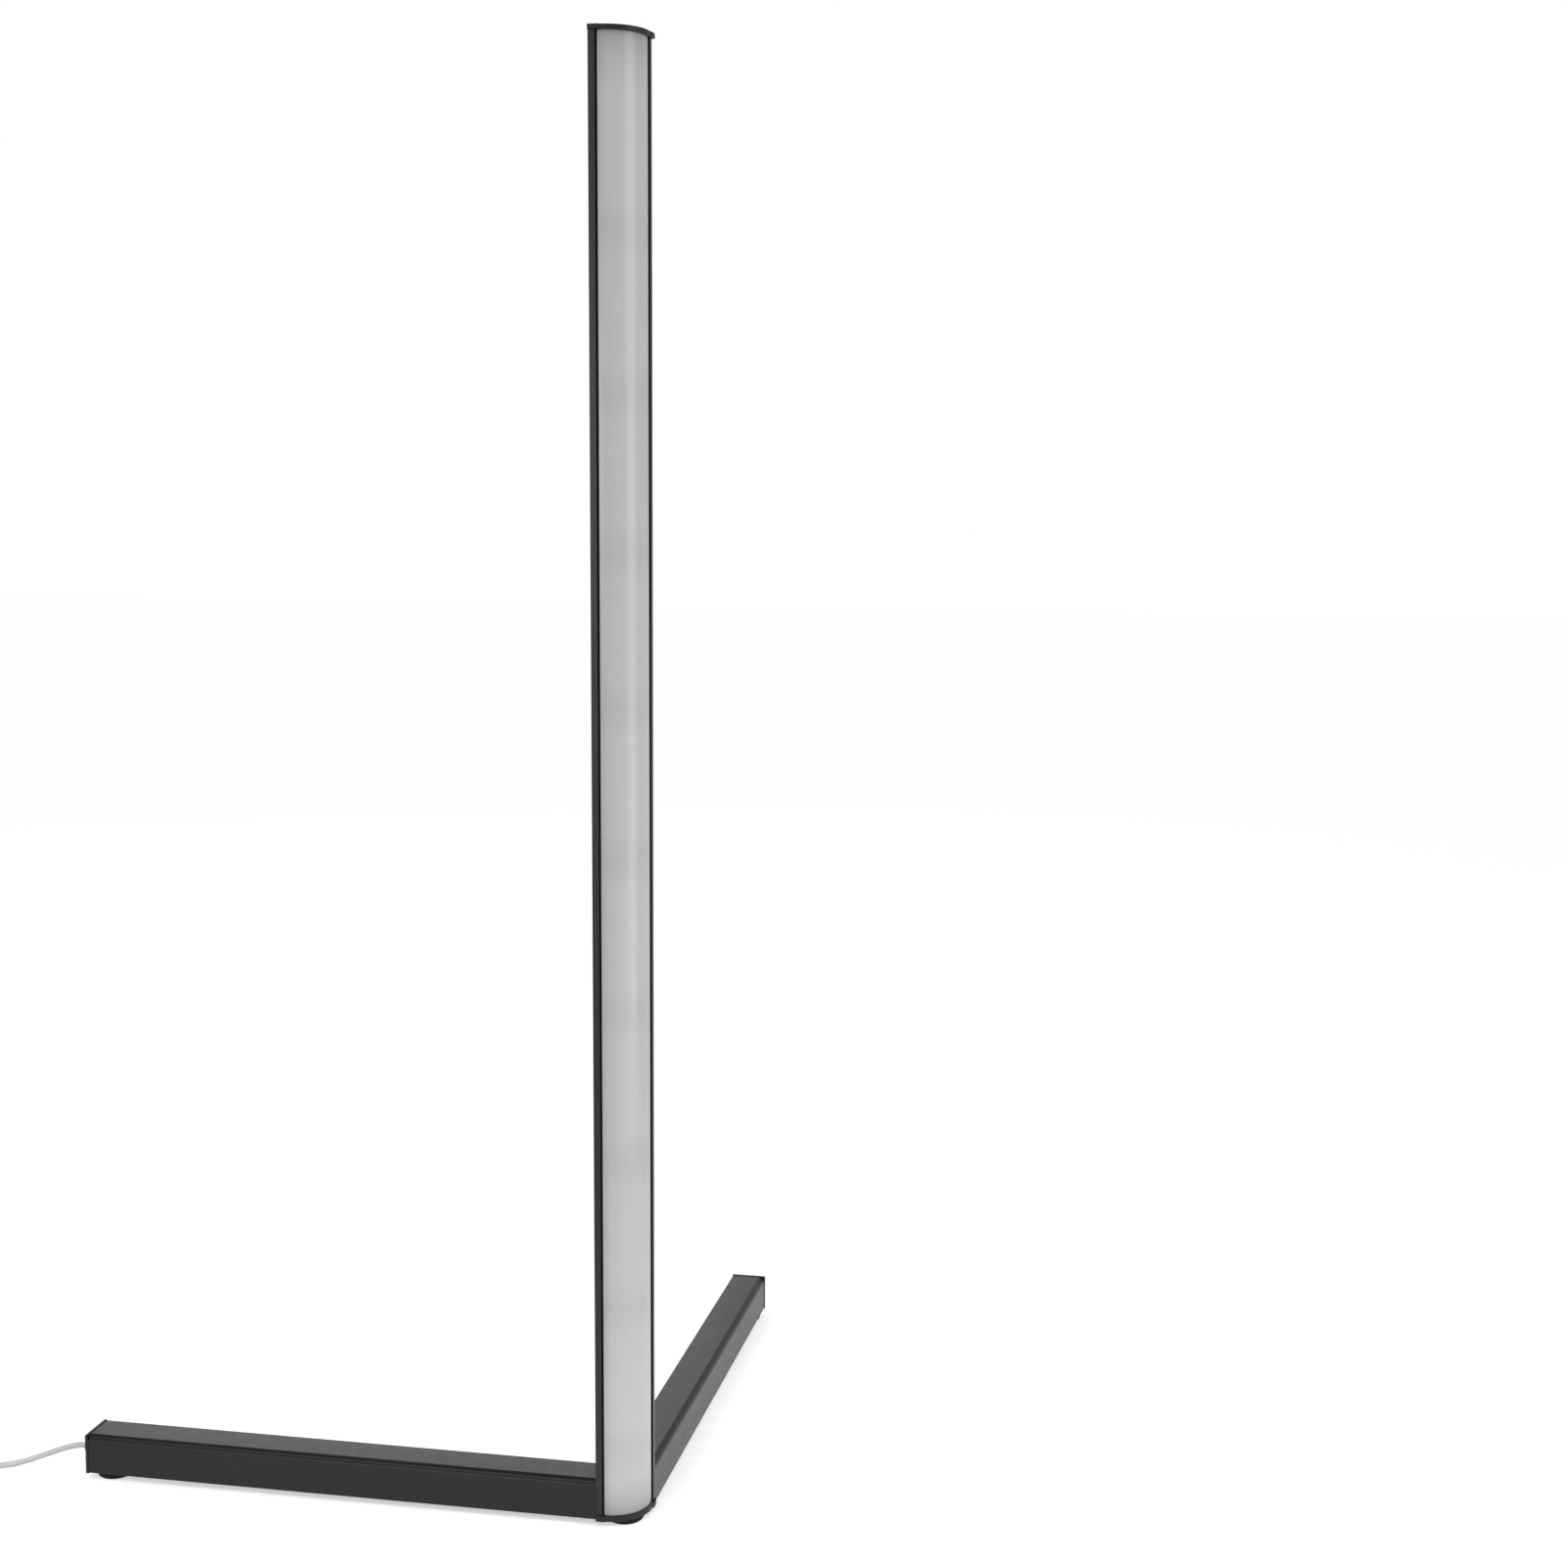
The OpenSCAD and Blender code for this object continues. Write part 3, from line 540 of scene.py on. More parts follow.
def profile_outline():
    inner = -HALF + POST_WALL
    web_y = inner - math.sqrt(2) * WEB_U
    left = [
        (-HALF, -HALF, POST_EDGE_R),
        (-HALF + LIP_W, -HALF, LIP_EDGE_R),
        (-HALF + LIP_W, -HALF + LIP_TURN, LIP_EDGE_R),
        (-HALF + LIP_W - LIP_TURN_T, -HALF + LIP_TURN, LIP_EDGE_R),
        (-HALF + LIP_W - LIP_TURN_T, inner, LIP_EDGE_R),
        (inner, inner, LIP_EDGE_R),
        (inner, web_y, LIP_EDGE_R),
    ]
    return rounded([(-HALF, HALF, POST_EDGE_R)] + left + mirrored(left))


def cavity_outline():
    inner = -HALF + POST_WALL
    web_y = inner - math.sqrt(2) * (WEB_U - WEB_T)
    return rounded([(inner, web_y, LIP_EDGE_R), (-web_y, -inner, LIP_EDGE_R), (inner, -inner, LIP_EDGE_R)])


def boss_places():
    """Middles of the two screw bosses."""
    near, far = -HALF + BOSS_NEAR, HALF - BOSS_FAR
    return [(near, far), (-far, -near)]


def block_holes():
    """Cutters for the two screws and the wire that go through the wall into each leg."""
    cutters = bmesh.new()
    for place in (REAR_LEG, LEFT_LEG):
        for up in (-BLOCK_SCREW_GAP / 2, 0, BLOCK_SCREW_GAP / 2):
            radius = BLOCK_SCREW_R if up else WIRE_HOLE_R
            hole = bmesh.new()
            prism(hole, [circle(radius, 24, (BLOCK_SCREW_IN, LEG_SIDE / 2 + up))], -2 * POST_WALL, POST_WALL)
            hole.transform(place)
            add(cutters, hole)
    return cutters


def corner_profile():
    bm = bmesh.new()
    prism(bm, [profile_outline(), cavity_outline()], POST_LO.z, POST_HI.z)
    bm = carve(bm, block_holes())
    for centre in boss_places():
        prism(bm, [circle(BOSS_R, 24, centre), circle(PILOT_R, 16, centre)], POST_LO.z, POST_HI.z)
    return piece("corner_profile", bm, BLACK_PROFILE, ["upright_profile"])


def diffuser_cover():
    catch = -HALF + LIP_TURN
    hook = [
        (DIFFUSER_X + DIFFUSER_WALL, catch + BARB_ROOT, BARB_ROOT_R),
        (DIFFUSER_X, catch + BARB_ROOT, BARB_ROOT_R),
        (DIFFUSER_X - BARB_REACH, catch + BARB_TIP, BARB_TIP_R),
        (DIFFUSER_X - BARB_REACH, catch, BARB_TIP_R),
        (DIFFUSER_X, catch, 0),
    ]
    outer = bow_arc(BOW_R, DIFFUSER_X, 48)
    for end in (0, -1):
        outer[end] = (*outer[end][:2], DIFFUSER_EDGE_R)
    inner = bow_arc(BOW_R - DIFFUSER_WALL, DIFFUSER_X + DIFFUSER_WALL, 48)
    bm = bmesh.new()
    prism(bm, [rounded(hook + outer + mirrored(hook) + inner[::-1])], POST_LO.z, POST_HI.z)
    return piece("diffuser_cover", bm, OPAL, ["diffuser"])


def cap_outline(front, back):
    """Outline of a cap that stands over the post by front at the diffuser and by back behind."""
    near, far = HALF + front, HALF + back
    corners = [(-far, -near, CAP_CORNER_R), (DIFFUSER_X, -near, 0)]
    corners += bow_arc(BOW_R + front, CAP_BOW_FROM)
    corners += [(near, -DIFFUSER_X, 0), (near, far, CAP_CORNER_R), (-far, far, CAP_CORNER_R)]
    return rounded(corners)


def pad(bm, z0, z1):
    """Block under a cap that fills the mouth of the light chamber behind the diffuser."""
    reach = BOW_R - DIFFUSER_WALL - PAD_GAP
    middle = BOW.x * math.sqrt(2)
    depth = middle + math.sqrt(reach**2 - PAD_HALF_W**2)
    corners = [(0, -PAD_HALF_W), (depth, -PAD_HALF_W), (depth, PAD_HALF_W), (0, PAD_HALF_W)]
    turn = Matrix.Rotation(math.radians(-45), 2)
    prism(bm, [[turn @ Vector(corner) for corner in corners]], z0, z1)


def cap(name, outline, z0, z1, pad_z, node):
    bm = bmesh.new()
    holes = [circle(HEAD_R + CAP_HEAD_GAP, HEAD_STEPS, centre) for centre in boss_places()]
    prism(bm, [outline] + holes, z0, z1, CAP_EDGE)
    pad(bm, *pad_z)
    return piece(name, bm, BLACK_CAP, [node])


def caps():
    top = [p + Vector((CAP_SHIFT, 0)) for p in cap_outline(CAP_OVER, CAP_OVER)]
    cap("top_cap_plate", top, POST_HI.z, TOP_CAP_HI.z, (POST_HI.z - PAD_H, POST_HI.z), "top_cap")
    base = cap_outline(CAP_OVER, 0)
    cap("base_cap_plate", base, BASE_CAP_LO.z, POST_LO.z, (POST_LO.z, POST_LO.z + PAD_H), "bottom_cap")


def cross(radius, slot):
    """Outline of a cross recess with arms of the given reach and slots of the given width."""
    half = slot / 2
    quarter = [Vector((radius, -half)), Vector((radius, half)), Vector((half, half))]
    outline = []
    for _ in range(4):
        outline += quarter
        quarter = [Vector((-p.y, p.x)) for p in quarter]
    return outline


def sunk_screw(length):
    """Countersunk screw that points to -Z with its face at the origin, with a cross recess."""
    bm = bmesh.new()
    profile = [(HEAD_R - HEAD_EDGE, 0), (HEAD_R, -HEAD_EDGE), (SHANK_R, -HEAD_H),
               (SHANK_R, -length + SHANK_R)]
    rings = [ring(bm, [(*p, z) for p in circle(r, HEAD_STEPS)]) for r, z in profile]
    for first, second in zip(rings, rings[1:]):
        join_rings(bm, first, second)
    tip = bm.verts.new((0, 0, -length))
    for i in range(HEAD_STEPS):
        bm.faces.new((tip, rings[-1][i - 1], rings[-1][i]))
    mouth = ring(bm, [(*p, 0) for p in cross(RECESS_R, RECESS_SLOT)])
    floor = ring(bm, [(*p, -RECESS_DEPTH) for p in cross(RECESS_FLOOR_R, RECESS_FLOOR_SLOT)])
    join_rings(bm, mouth, floor)
    bm.faces.new(floor)
    edges = []
    for verts in (rings[0], mouth):
        pairs = [(verts[i - 1], verts[i]) for i in range(len(verts))]
        edges += [bm.edges.get(pair) or bm.edges.new(pair) for pair in pairs]
    bmesh.ops.triangle_fill(bm, use_beauty=True, use_dissolve=False, edges=edges)
    return bm


def screws(name, length, places, node):
    bm = bmesh.new()
    for place in places:
        screw = sunk_screw(length)
        screw.transform(place)
        add(bm, screw)
    return piece(name, bm, BLACK_SCREW, [node])


def cap_screws():
    over = Matrix.Rotation(math.pi, 4, "X")
    up = [Matrix.Translation((x, y, TOP_CAP_HI.z)) for x, y in boss_places()]
    down = [Matrix.Translation((x, y, BASE_CAP_LO.z)) @ over for x, y in boss_places()]
    screws("top_screws", CAP_SCREW_LEN, up, "top_cap_screws")
    screws("base_screws", CAP_SCREW_LEN, down, "bottom_cap_screws")


# ---- legs ----


def leg_outline(inwards, top_r, edge_r, steps=8):
    """Section of a tube, moved inwards, with its outer top edge rounded by top_r."""
    low, high = inwards, LEG_SIDE - inwards
    corners = [(low, low, edge_r), (high, low, edge_r), (high, high, edge_r)]
    outline = rounded(corners + [(low, high, top_r)])
    if top_r == edge_r:
        return outline
    centre = Vector((low + top_r, high - top_r))
    turns = [math.radians(90 + 90 * k / steps) for k in range(steps + 1)]
    top_edge = [centre + top_r * Vector((math.cos(a), math.sin(a))) for a in turns]
    return outline[:len(corners) * (CORNER_STEPS + 1)] + top_edge


def leg(name, place, node, screw_node):
    bm = bmesh.new()
    walls = [leg_outline(0, LEG_TOP_R, LEG_EDGE_R),
             leg_outline(LEG_WALL, LEG_TOP_R - LEG_WALL, LEG_EDGE_R)]
    prism(bm, walls, 0, LEG_LEN, LEG_RIM)
    to_screw = Matrix.Translation((TUBE_SCREW_IN, 0, TUBE_SCREW_OUT)) @ Matrix.Rotation(-TURN / 4, 4, "X")
    hole = bmesh.new()
    prism(hole, [circle(HEAD_R + TUBE_HEAD_GAP, HEAD_STEPS)], -LEG_WALL / 2, 2 * LEG_WALL)
    hole.transform(to_screw)
    piece(name, carve(bm, hole), BLACK_TUBE, [node], place)
    over = Matrix.Rotation(math.pi, 4, "X")
    screws(screw_node + "_head", TUBE_SCREW_LEN, [place @ to_screw @ over], screw_node)


def end_plate(name, place, node, cord_hole):
    side = LEG_SIDE + 2 * PLATE_PROUD
    middle = (LEG_SIDE / 2, LEG_SIDE / 2)
    outline = [p + Vector(middle) for p in round_rect(side, side, PLATE_CORNER_R, CORNER_STEPS)]
    holes = [circle(CORD_HOLE_R, 40, middle)] if cord_hole else []
    bm = bmesh.new()
    prism(bm, [outline] + holes, LEG_LEN, LEG_LEN + PLATE_T, PLATE_RIM)
    inwards = LEG_WALL + INSERT_GAP
    insert = [leg_outline(inwards, LEG_TOP_R - LEG_WALL, LEG_EDGE_R),
              leg_outline(inwards + INSERT_WALL, LEG_EDGE_R, LEG_EDGE_R)]
    prism(bm, insert, LEG_LEN - INSERT_LEN, LEG_LEN)
    return piece(name, bm, BLACK_CAP, [node], place)


def foot(name, node):
    """Rubber foot with a ring groove in its underside."""
    low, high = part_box(node)
    groove_in, groove_out = FOOT_GROOVE_R - FOOT_GROOVE_HALF, FOOT_GROOVE_R + FOOT_GROOVE_HALF
    floor_in = FOOT_GROOVE_R - FOOT_GROOVE_HALF / 2
    floor_out = FOOT_GROOVE_R + FOOT_GROOVE_HALF / 2
    profile = [(0, 0), (groove_in, 0), (floor_in, FOOT_GROOVE_DEPTH), (floor_out, FOOT_GROOVE_DEPTH)]
    profile += [(groove_out, 0)]
    profile += arc(FOOT_R - FOOT_EDGE_R, FOOT_EDGE_R, FOOT_EDGE_R, -90, 0, 7)
    profile += arc(FOOT_R - FOOT_TOP_R, high.z - FOOT_TOP_R, FOOT_TOP_R, 0, 90, 3)
    profile += [(0, high.z)]
    bm = bmesh.new()
    revolve(bm, profile, 64)
    middle = (low + high) / 2
    return piece(name, bm, RUBBER, [node], Matrix.Translation((middle.x, middle.y, 0)))


# ---- cord ----


def spline(route, steps):
    """Catmull-Rom curve through the route."""
    route = [Vector(p) for p in route]
    points = []
    for i in range(len(route) - 1):
        a, b = route[max(i - 1, 0)], route[i]
        c, d = route[i + 1], route[min(i + 2, len(route) - 1)]
        for k in range(steps):
            t = k / steps
            points.append(0.5 * (2 * b + (c - a) * t + (2 * a - 5 * b + 4 * c - d) * t**2
                                 + (3 * b - a - 3 * c + d) * t**3))
    return points + [route[-1]]


def climb(turns):
    """Share of the rise from the lower to the upper layer of the coil."""
    return min(max((turns - TURNS_IN) / TURNS_CLIMB, 0), 1)


def coil_radius(turns):
    if turns < TURNS_IN:
        return COIL_R0 - COIL_PITCH * turns
    if turns > TURNS_IN + TURNS_CLIMB:
        return COIL_R_IN + COIL_PITCH * (turns - TURNS_IN - TURNS_CLIMB)
    return COIL_R_IN - COIL_DIP * math.sin(math.pi * climb(turns))


def coil_point(turns):
    angle = -TURN / 4 - TURN * turns
    radius = coil_radius(turns)
    rise = COIL_PITCH * (1 - math.cos(math.pi * climb(turns))) / 2
    return COIL + Vector((radius * math.cos(angle), radius * math.sin(angle), rise))


def coil_path():
    return [coil_point(i / COIL_STEPS) for i in range(int(COIL_STEPS * COIL_TURNS) + 1)]


def cord_curve(name, path, replaces):
    curve = bpy.data.curves.new(name, "CURVE")
    curve.dimensions = "3D"
    curve.bevel_depth = CORD_R
    curve.bevel_resolution = 5
    curve.use_fill_caps = True
    line = curve.splines.new("POLY")
    line.points.add(len(path) - 1)
    for point, place in zip(line.points, path):
        point.co = (*place, 1)
    line.use_smooth = True
    curve.materials.append(CORD_WHITE)
    made = bpy.data.objects.new(name, curve)
    bpy.context.scene.collection.objects.link(made)
    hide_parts(*replaces)
    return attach(made, "lamp")


def cords():
    lead = spline([Vector(p) * MM for p in LEAD_ROUTE], 2)
    run = spline([Vector((RUN_X, y * MM, z * MM)) for _, y, z in TAIL_A_ROUTE], 2)
    path = lead + coil_path() + run
    supply = cord_curve("supply_cord", path, ["cord_lead", "cord_coil", "cord_tail_a"])
    tail = spline([Vector((RUN_X + x * MM, y * MM, z * MM)) for x, y, z in TAIL_B_ROUTE], 3)
    plug_lead = cord_curve("plug_lead", tail, ["cord_tail_b"])
    return supply, path, plug_lead, tail


BOOT_GAP = 0.02 * MM
BOOT_EDGE = 0.35 * MM
BOOT_LIP_R = CORD_HOLE_R + 1.2 * MM
BOOT_LIP_T = 1.2 * MM
BOOT_CATCH_R = CORD_HOLE_R + 0.5 * MM
BOOT_CATCH_FROM = -3.5 * MM
BOOT_CATCH_TO = -2.1 * MM
BOOT_RIBS = 4
BOOT_RIBS_FROM = BOOT_LIP_T + 0.2 * MM
BOOT_RIB_PITCH = 1.35 * MM
BOOT_RIB_R = 3.35 * MM
BOOT_RIB_DEPTH = 0.6 * MM
BOOT_RIB_RISE = 0.35 * MM
BOOT_RIB_TOP = 0.5 * MM
BOOT_RIB_FALL = 0.3 * MM
BOOT_TAPER = 0.2 * MM
BOOT_LEN = 6 * MM


def boot():
    """Grommet in the end plate with a short ribbed boot round the cord."""
    bore = CORD_R + BOOT_GAP
    profile = [(bore, BOOT_CATCH_FROM), (BOOT_CATCH_R, BOOT_CATCH_FROM), (BOOT_CATCH_R, BOOT_CATCH_TO),
               (CORD_HOLE_R, BOOT_CATCH_TO), (CORD_HOLE_R, 0), (BOOT_LIP_R, 0)]
    profile += arc(BOOT_LIP_R - BOOT_EDGE, BOOT_LIP_T - BOOT_EDGE, BOOT_EDGE, 0, 90, 3)
    for k in range(BOOT_RIBS):
        z = BOOT_RIBS_FROM + k * BOOT_RIB_PITCH
        outer = BOOT_RIB_R - BOOT_TAPER * k
        inner = outer - BOOT_RIB_DEPTH
        profile += [(inner, z), (outer, z + BOOT_RIB_RISE)]
        z += BOOT_RIB_RISE + BOOT_RIB_TOP
        profile += [(outer, z), (inner, z + BOOT_RIB_FALL)]
    profile += [(bore, BOOT_LIP_T + BOOT_LEN)]
    bm = bmesh.new()
    revolve(bm, profile, 40)
    place = Matrix.Translation(EXIT) @ Matrix.Rotation(-TURN / 4, 4, "Y")
    return piece("cord_boot", bm, KEY_GREY, ["cord_grommet"], place)


TIE_T = 0.5 * MM
TIE_OUTER_R = 2.2 * MM
TIE_INNER_R = 1.7 * MM
TIE_RIM = 0.12 * MM


def tie():
    low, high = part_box("coil_tie")
    width, height = high.x - low.x, high.z - low.z
    outer = round_rect(width, height, TIE_OUTER_R)
    inner = round_rect(width - 2 * TIE_T, height - 2 * TIE_T, TIE_INNER_R)
    bm = bmesh.new()
    prism(bm, [outer, inner], 0, high.y - low.y, TIE_RIM)
    place = Matrix.Translation(((low.x + high.x) / 2, high.y, (low.z + high.z) / 2))
    place = place @ Matrix.Rotation(TURN / 4, 4, "X")
    return piece("cord_tie", bm, TIE_BLACK, ["coil_tie"], place)


# ---- in-line switch ----

SWITCH_LO, SWITCH_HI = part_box("switch_lower")
SWITCH_W = SWITCH_HI.x - SWITCH_LO.x
SWITCH_L = SWITCH_HI.y - SWITCH_LO.y
SWITCH_MID = Vector((RUN_X, (SWITCH_LO.y + SWITCH_HI.y) / 2, 0))
SWITCH_HALF_H = SWITCH_HI.z
SWITCH_WALL = 1.5 * MM
SWITCH_CORNER = 6 * MM
SWITCH_ROUND = 2.4 * MM
SWITCH_ROUND_STEPS = 6
SWITCH_FILLET = 0.8 * MM
SEAM_W = 0.2 * MM
SEAM_H = 0.25 * MM
SWITCH_CORD_GAP = 0.05 * MM
BUTTON_R = 5 * MM
BUTTON_GAP = 0.3 * MM
BUTTON_FLANGE = 1.1 * MM
BUTTON_EDGE = 0.6 * MM
BUTTON_RIM = 0.3 * MM
BUTTON_DISH = 0.5 * MM
DISH_STEPS = 6


def shell_rings():
    """Rings of one half shell from its outer floor, over the rim and down to its inner floor."""
    sections = []
    for k in range(SWITCH_ROUND_STEPS + 1):
        a = math.radians(90 * k / SWITCH_ROUND_STEPS)
        sections.append((SWITCH_ROUND * (1 - math.sin(a)), SWITCH_ROUND * (1 - math.cos(a))))
    sections += [
        (0, SWITCH_HALF_H - SEAM_H),
        (SEAM_W, SWITCH_HALF_H),
        (SWITCH_WALL, SWITCH_HALF_H),
        (SWITCH_WALL, SWITCH_WALL + SWITCH_FILLET),
        (SWITCH_WALL + SWITCH_FILLET, SWITCH_WALL),
    ]
    rings = []
    for by, z in sections:
        outline = round_rect(SWITCH_W - 2 * by, SWITCH_L - 2 * by, SWITCH_CORNER - by)
        rings.append([(*p, z) for p in outline])
    return rings


def switch_shell(name, node, upper):
    bm = bmesh.new()
    loft(bm, shell_rings())
    cutter = bmesh.new()
    prism(cutter, [circle(CORD_R + SWITCH_CORD_GAP, 24, (0, -SWITCH_HALF_H))], -SWITCH_L, SWITCH_L)
    cutter.transform(Matrix.Rotation(TURN / 4, 4, "X") @ Matrix.Scale(-1, 4, (0, 1, 0)))
    if upper:
        opening = bmesh.new()
        prism(opening, [circle(BUTTON_R + BUTTON_GAP, 48)], -SWITCH_WALL, 2 * SWITCH_WALL)
        add(cutter, opening)
    bm = carve(bm, cutter)
    place = Matrix.Translation(SWITCH_MID)
    if upper:
        over = Matrix.Rotation(math.pi, 4, "Y")
        place = place @ Matrix.Translation((0, 0, 2 * SWITCH_HALF_H)) @ over
    return piece(name, bm, SWITCH_WHITE, [node], place)


def push_button():
    """Flanged button with a dished top."""
    low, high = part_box("switch_button")
    flange_r, flange_z = BUTTON_R + BUTTON_FLANGE, low.z + BUTTON_FLANGE
    profile = [(0, low.z), (flange_r, low.z), (flange_r, flange_z), (BUTTON_R, flange_z)]
    profile += arc(BUTTON_R - BUTTON_EDGE, high.z - BUTTON_EDGE, BUTTON_EDGE, 0, 90)
    dish_r = BUTTON_R - BUTTON_EDGE - BUTTON_RIM
    for k in range(DISH_STEPS + 1):
        share = 1 - k / DISH_STEPS
        profile.append((dish_r * share, high.z - BUTTON_DISH * (1 - share**2)))
    bm = bmesh.new()
    revolve(bm, profile)
    place = Matrix.Translation((SWITCH_MID.x, SWITCH_MID.y, 0))
    return piece("push_button", bm, KEY_GREY, ["switch_button"], place, "button")


# ---- plug: Z along the plug from the cord to its tip ----

PLUG_LO, PLUG_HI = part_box("plug_body")
SHELL_LO, SHELL_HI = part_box("plug_shell")
PLUG_W = PLUG_HI.x - PLUG_LO.x
PLUG_H = PLUG_HI.z - PLUG_LO.z
PLUG_BODY_L = PLUG_HI.y - SHELL_HI.y
SHELL_W = SHELL_HI.x - SHELL_LO.x
SHELL_H = SHELL_HI.z - SHELL_LO.z
SHELL_L = SHELL_HI.y - SHELL_LO.y
SHELL_T = 0.4 * MM
SHELL_R = 0.5 * MM
SHELL_INNER_R = 0.2 * MM
PLUG_NECK = 5 * MM
PLUG_COLLAR_W = 2 * CORD_R + 1.2 * MM
PLUG_NECK_W = 7.2 * MM
PLUG_SHOULDER = 2.5 * MM
PLUG_SHOULDER_STEPS = 5
PLUG_R = 2.2 * MM
PLUG_EDGE = 0.8 * MM
GRIPS = 5
GRIP_FROM = PLUG_NECK + 2.5 * MM
GRIP_PITCH = 1.8 * MM
GRIP_SLOPE = 0.3 * MM
GRIP_FLOOR = 0.5 * MM
GRIP_DEPTH = 0.35 * MM
GRIP_DEPTH_ABOVE = 0.1 * MM
TONGUE_LOW = -SHELL_H / 2 + SHELL_T + 0.1 * MM
TONGUE_T = 1.6 * MM
TONGUE_EDGE = 0.1 * MM
TONGUE_SHORT = 1 * MM
CONTACTS_AT = (-3.5 * MM, -1 * MM, 1 * MM, 3.5 * MM)
CONTACT_W = 1 * MM
CONTACT_FROM = PLUG_BODY_L + 3 * MM
CONTACT_TO = PLUG_BODY_L + SHELL_L - 2 * MM
CONTACT_SUNK = 0.05 * MM
CONTACT_PROUD = 0.1 * MM
WINDOWS_AT = (-2.9 * MM, 2.9 * MM)
WINDOW_IN = 7.5 * MM
WINDOW_SIDE = 2.3 * MM
WINDOW_R = 0.2 * MM
PLUG_MID = Vector(((PLUG_LO.x + PLUG_HI.x) / 2, PLUG_HI.y, (PLUG_LO.z + PLUG_HI.z) / 2))
PLUG_PLACE = Matrix.Translation(PLUG_MID) @ Matrix.Rotation(TURN / 4, 4, "X")


def plug_rings():
    """Rings along the moulded body: neck, shoulder, gripped waist and front edge."""
    start = PLUG_NECK - PLUG_SHOULDER
    stations = [(0, PLUG_COLLAR_W, PLUG_COLLAR_W), (start, PLUG_NECK_W, PLUG_NECK_W)]
    for k in range(1, PLUG_SHOULDER_STEPS + 1):
        a = math.radians(90 * k / PLUG_SHOULDER_STEPS)
        width = PLUG_NECK_W + (PLUG_W - PLUG_NECK_W) * math.sin(a)
        height = PLUG_NECK_W + (PLUG_H - PLUG_NECK_W) * math.sin(a)
        stations.append((start + PLUG_SHOULDER * (1 - math.cos(a)), width, height))
    for k in range(GRIPS):
        z = GRIP_FROM + k * GRIP_PITCH
        floor = (PLUG_W - 2 * GRIP_DEPTH, PLUG_H - 2 * GRIP_DEPTH_ABOVE)
        stations += [(z, PLUG_W, PLUG_H), (z + GRIP_SLOPE, *floor)]
        z += GRIP_SLOPE + GRIP_FLOOR
        stations += [(z, *floor), (z + GRIP_SLOPE, PLUG_W, PLUG_H)]
    for back, inwards in ((1, 0), (0.3, 0.3), (0, 1)):
        shrink = 2 * inwards * PLUG_EDGE
        stations.append((PLUG_BODY_L - back * PLUG_EDGE, PLUG_W - shrink, PLUG_H - shrink))
    rings = []
    for z, width, height in stations:
        radius = min(PLUG_R, 0.49 * width, 0.49 * height)
        rings.append([(*p, z) for p in round_rect(width, height, radius)])
    return rings


def plug_housing():
    bm = bmesh.new()
    loft(bm, plug_rings())
    side, top = SHELL_W / 2 - TONGUE_SHORT, TONGUE_LOW + TONGUE_T
    corners = [(-side, TONGUE_LOW), (side, TONGUE_LOW), (side, top), (-side, top)]
    tongue = rounded([(*corner, TONGUE_EDGE) for corner in corners])
    prism(bm, [tongue], PLUG_BODY_L, PLUG_BODY_L + SHELL_L - TONGUE_SHORT)
    return piece("plug_housing", bm, SWITCH_WHITE, ["plug_body"], PLUG_PLACE)


def plug_contacts():
    low = TONGUE_LOW + TONGUE_T - CONTACT_SUNK
    high = TONGUE_LOW + TONGUE_T + CONTACT_PROUD
    bm = bmesh.new()
    for x in CONTACTS_AT:
        left, right = x - CONTACT_W / 2, x + CONTACT_W / 2
        strip = [Vector((left, low)), Vector((right, low)), Vector((right, high)), Vector((left, high))]
        prism(bm, [strip], CONTACT_FROM, CONTACT_TO)
    return piece("plug_contacts", bm, GOLD, (), PLUG_PLACE)


def plug_sleeve():
    """Steel shell with two latch windows above and below."""
    bm = bmesh.new()
    outer = round_rect(SHELL_W, SHELL_H, SHELL_R)
    inner = round_rect(SHELL_W - 2 * SHELL_T, SHELL_H - 2 * SHELL_T, SHELL_INNER_R)
    prism(bm, [outer, inner], PLUG_BODY_L, PLUG_BODY_L + SHELL_L)
    windows = bmesh.new()
    for x in WINDOWS_AT:
        window = [p + Vector((x, WINDOW_IN)) for p in round_rect(WINDOW_SIDE, WINDOW_SIDE, WINDOW_R, 2)]
        hole = bmesh.new()
        prism(hole, [window], -SHELL_H, SHELL_H)
        hole.transform(Matrix.Translation((0, 0, PLUG_BODY_L)) @ Matrix.Rotation(TURN / 4, 4, "X"))
        add(windows, hole)
    return piece("plug_sleeve", carve(bm, windows), STEEL, ["plug_shell"], PLUG_PLACE)


# ---- what stays as packed ----


def finish_inner_nodes():
    """Gives the pieces inside the lamp their surfaces; their shapes are right as packed."""
    looks = {
        "led_board": BOARD_WHITE, "led_chips": CHIP_AMBER, "left_block": CAST, "rear_block": CAST,
        "left_block_screws": STEEL, "rear_block_screws": STEEL, "board_pad": FOAM,
        "control_board": BOARD_GREEN, "inner_lead": WIRE_RED, "switch_board": BOARD_GREEN,
    }
    for node, material in looks.items():
        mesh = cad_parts[node].data
        mesh.materials.clear()
        mesh.materials.append(material)


# ---- studio ----

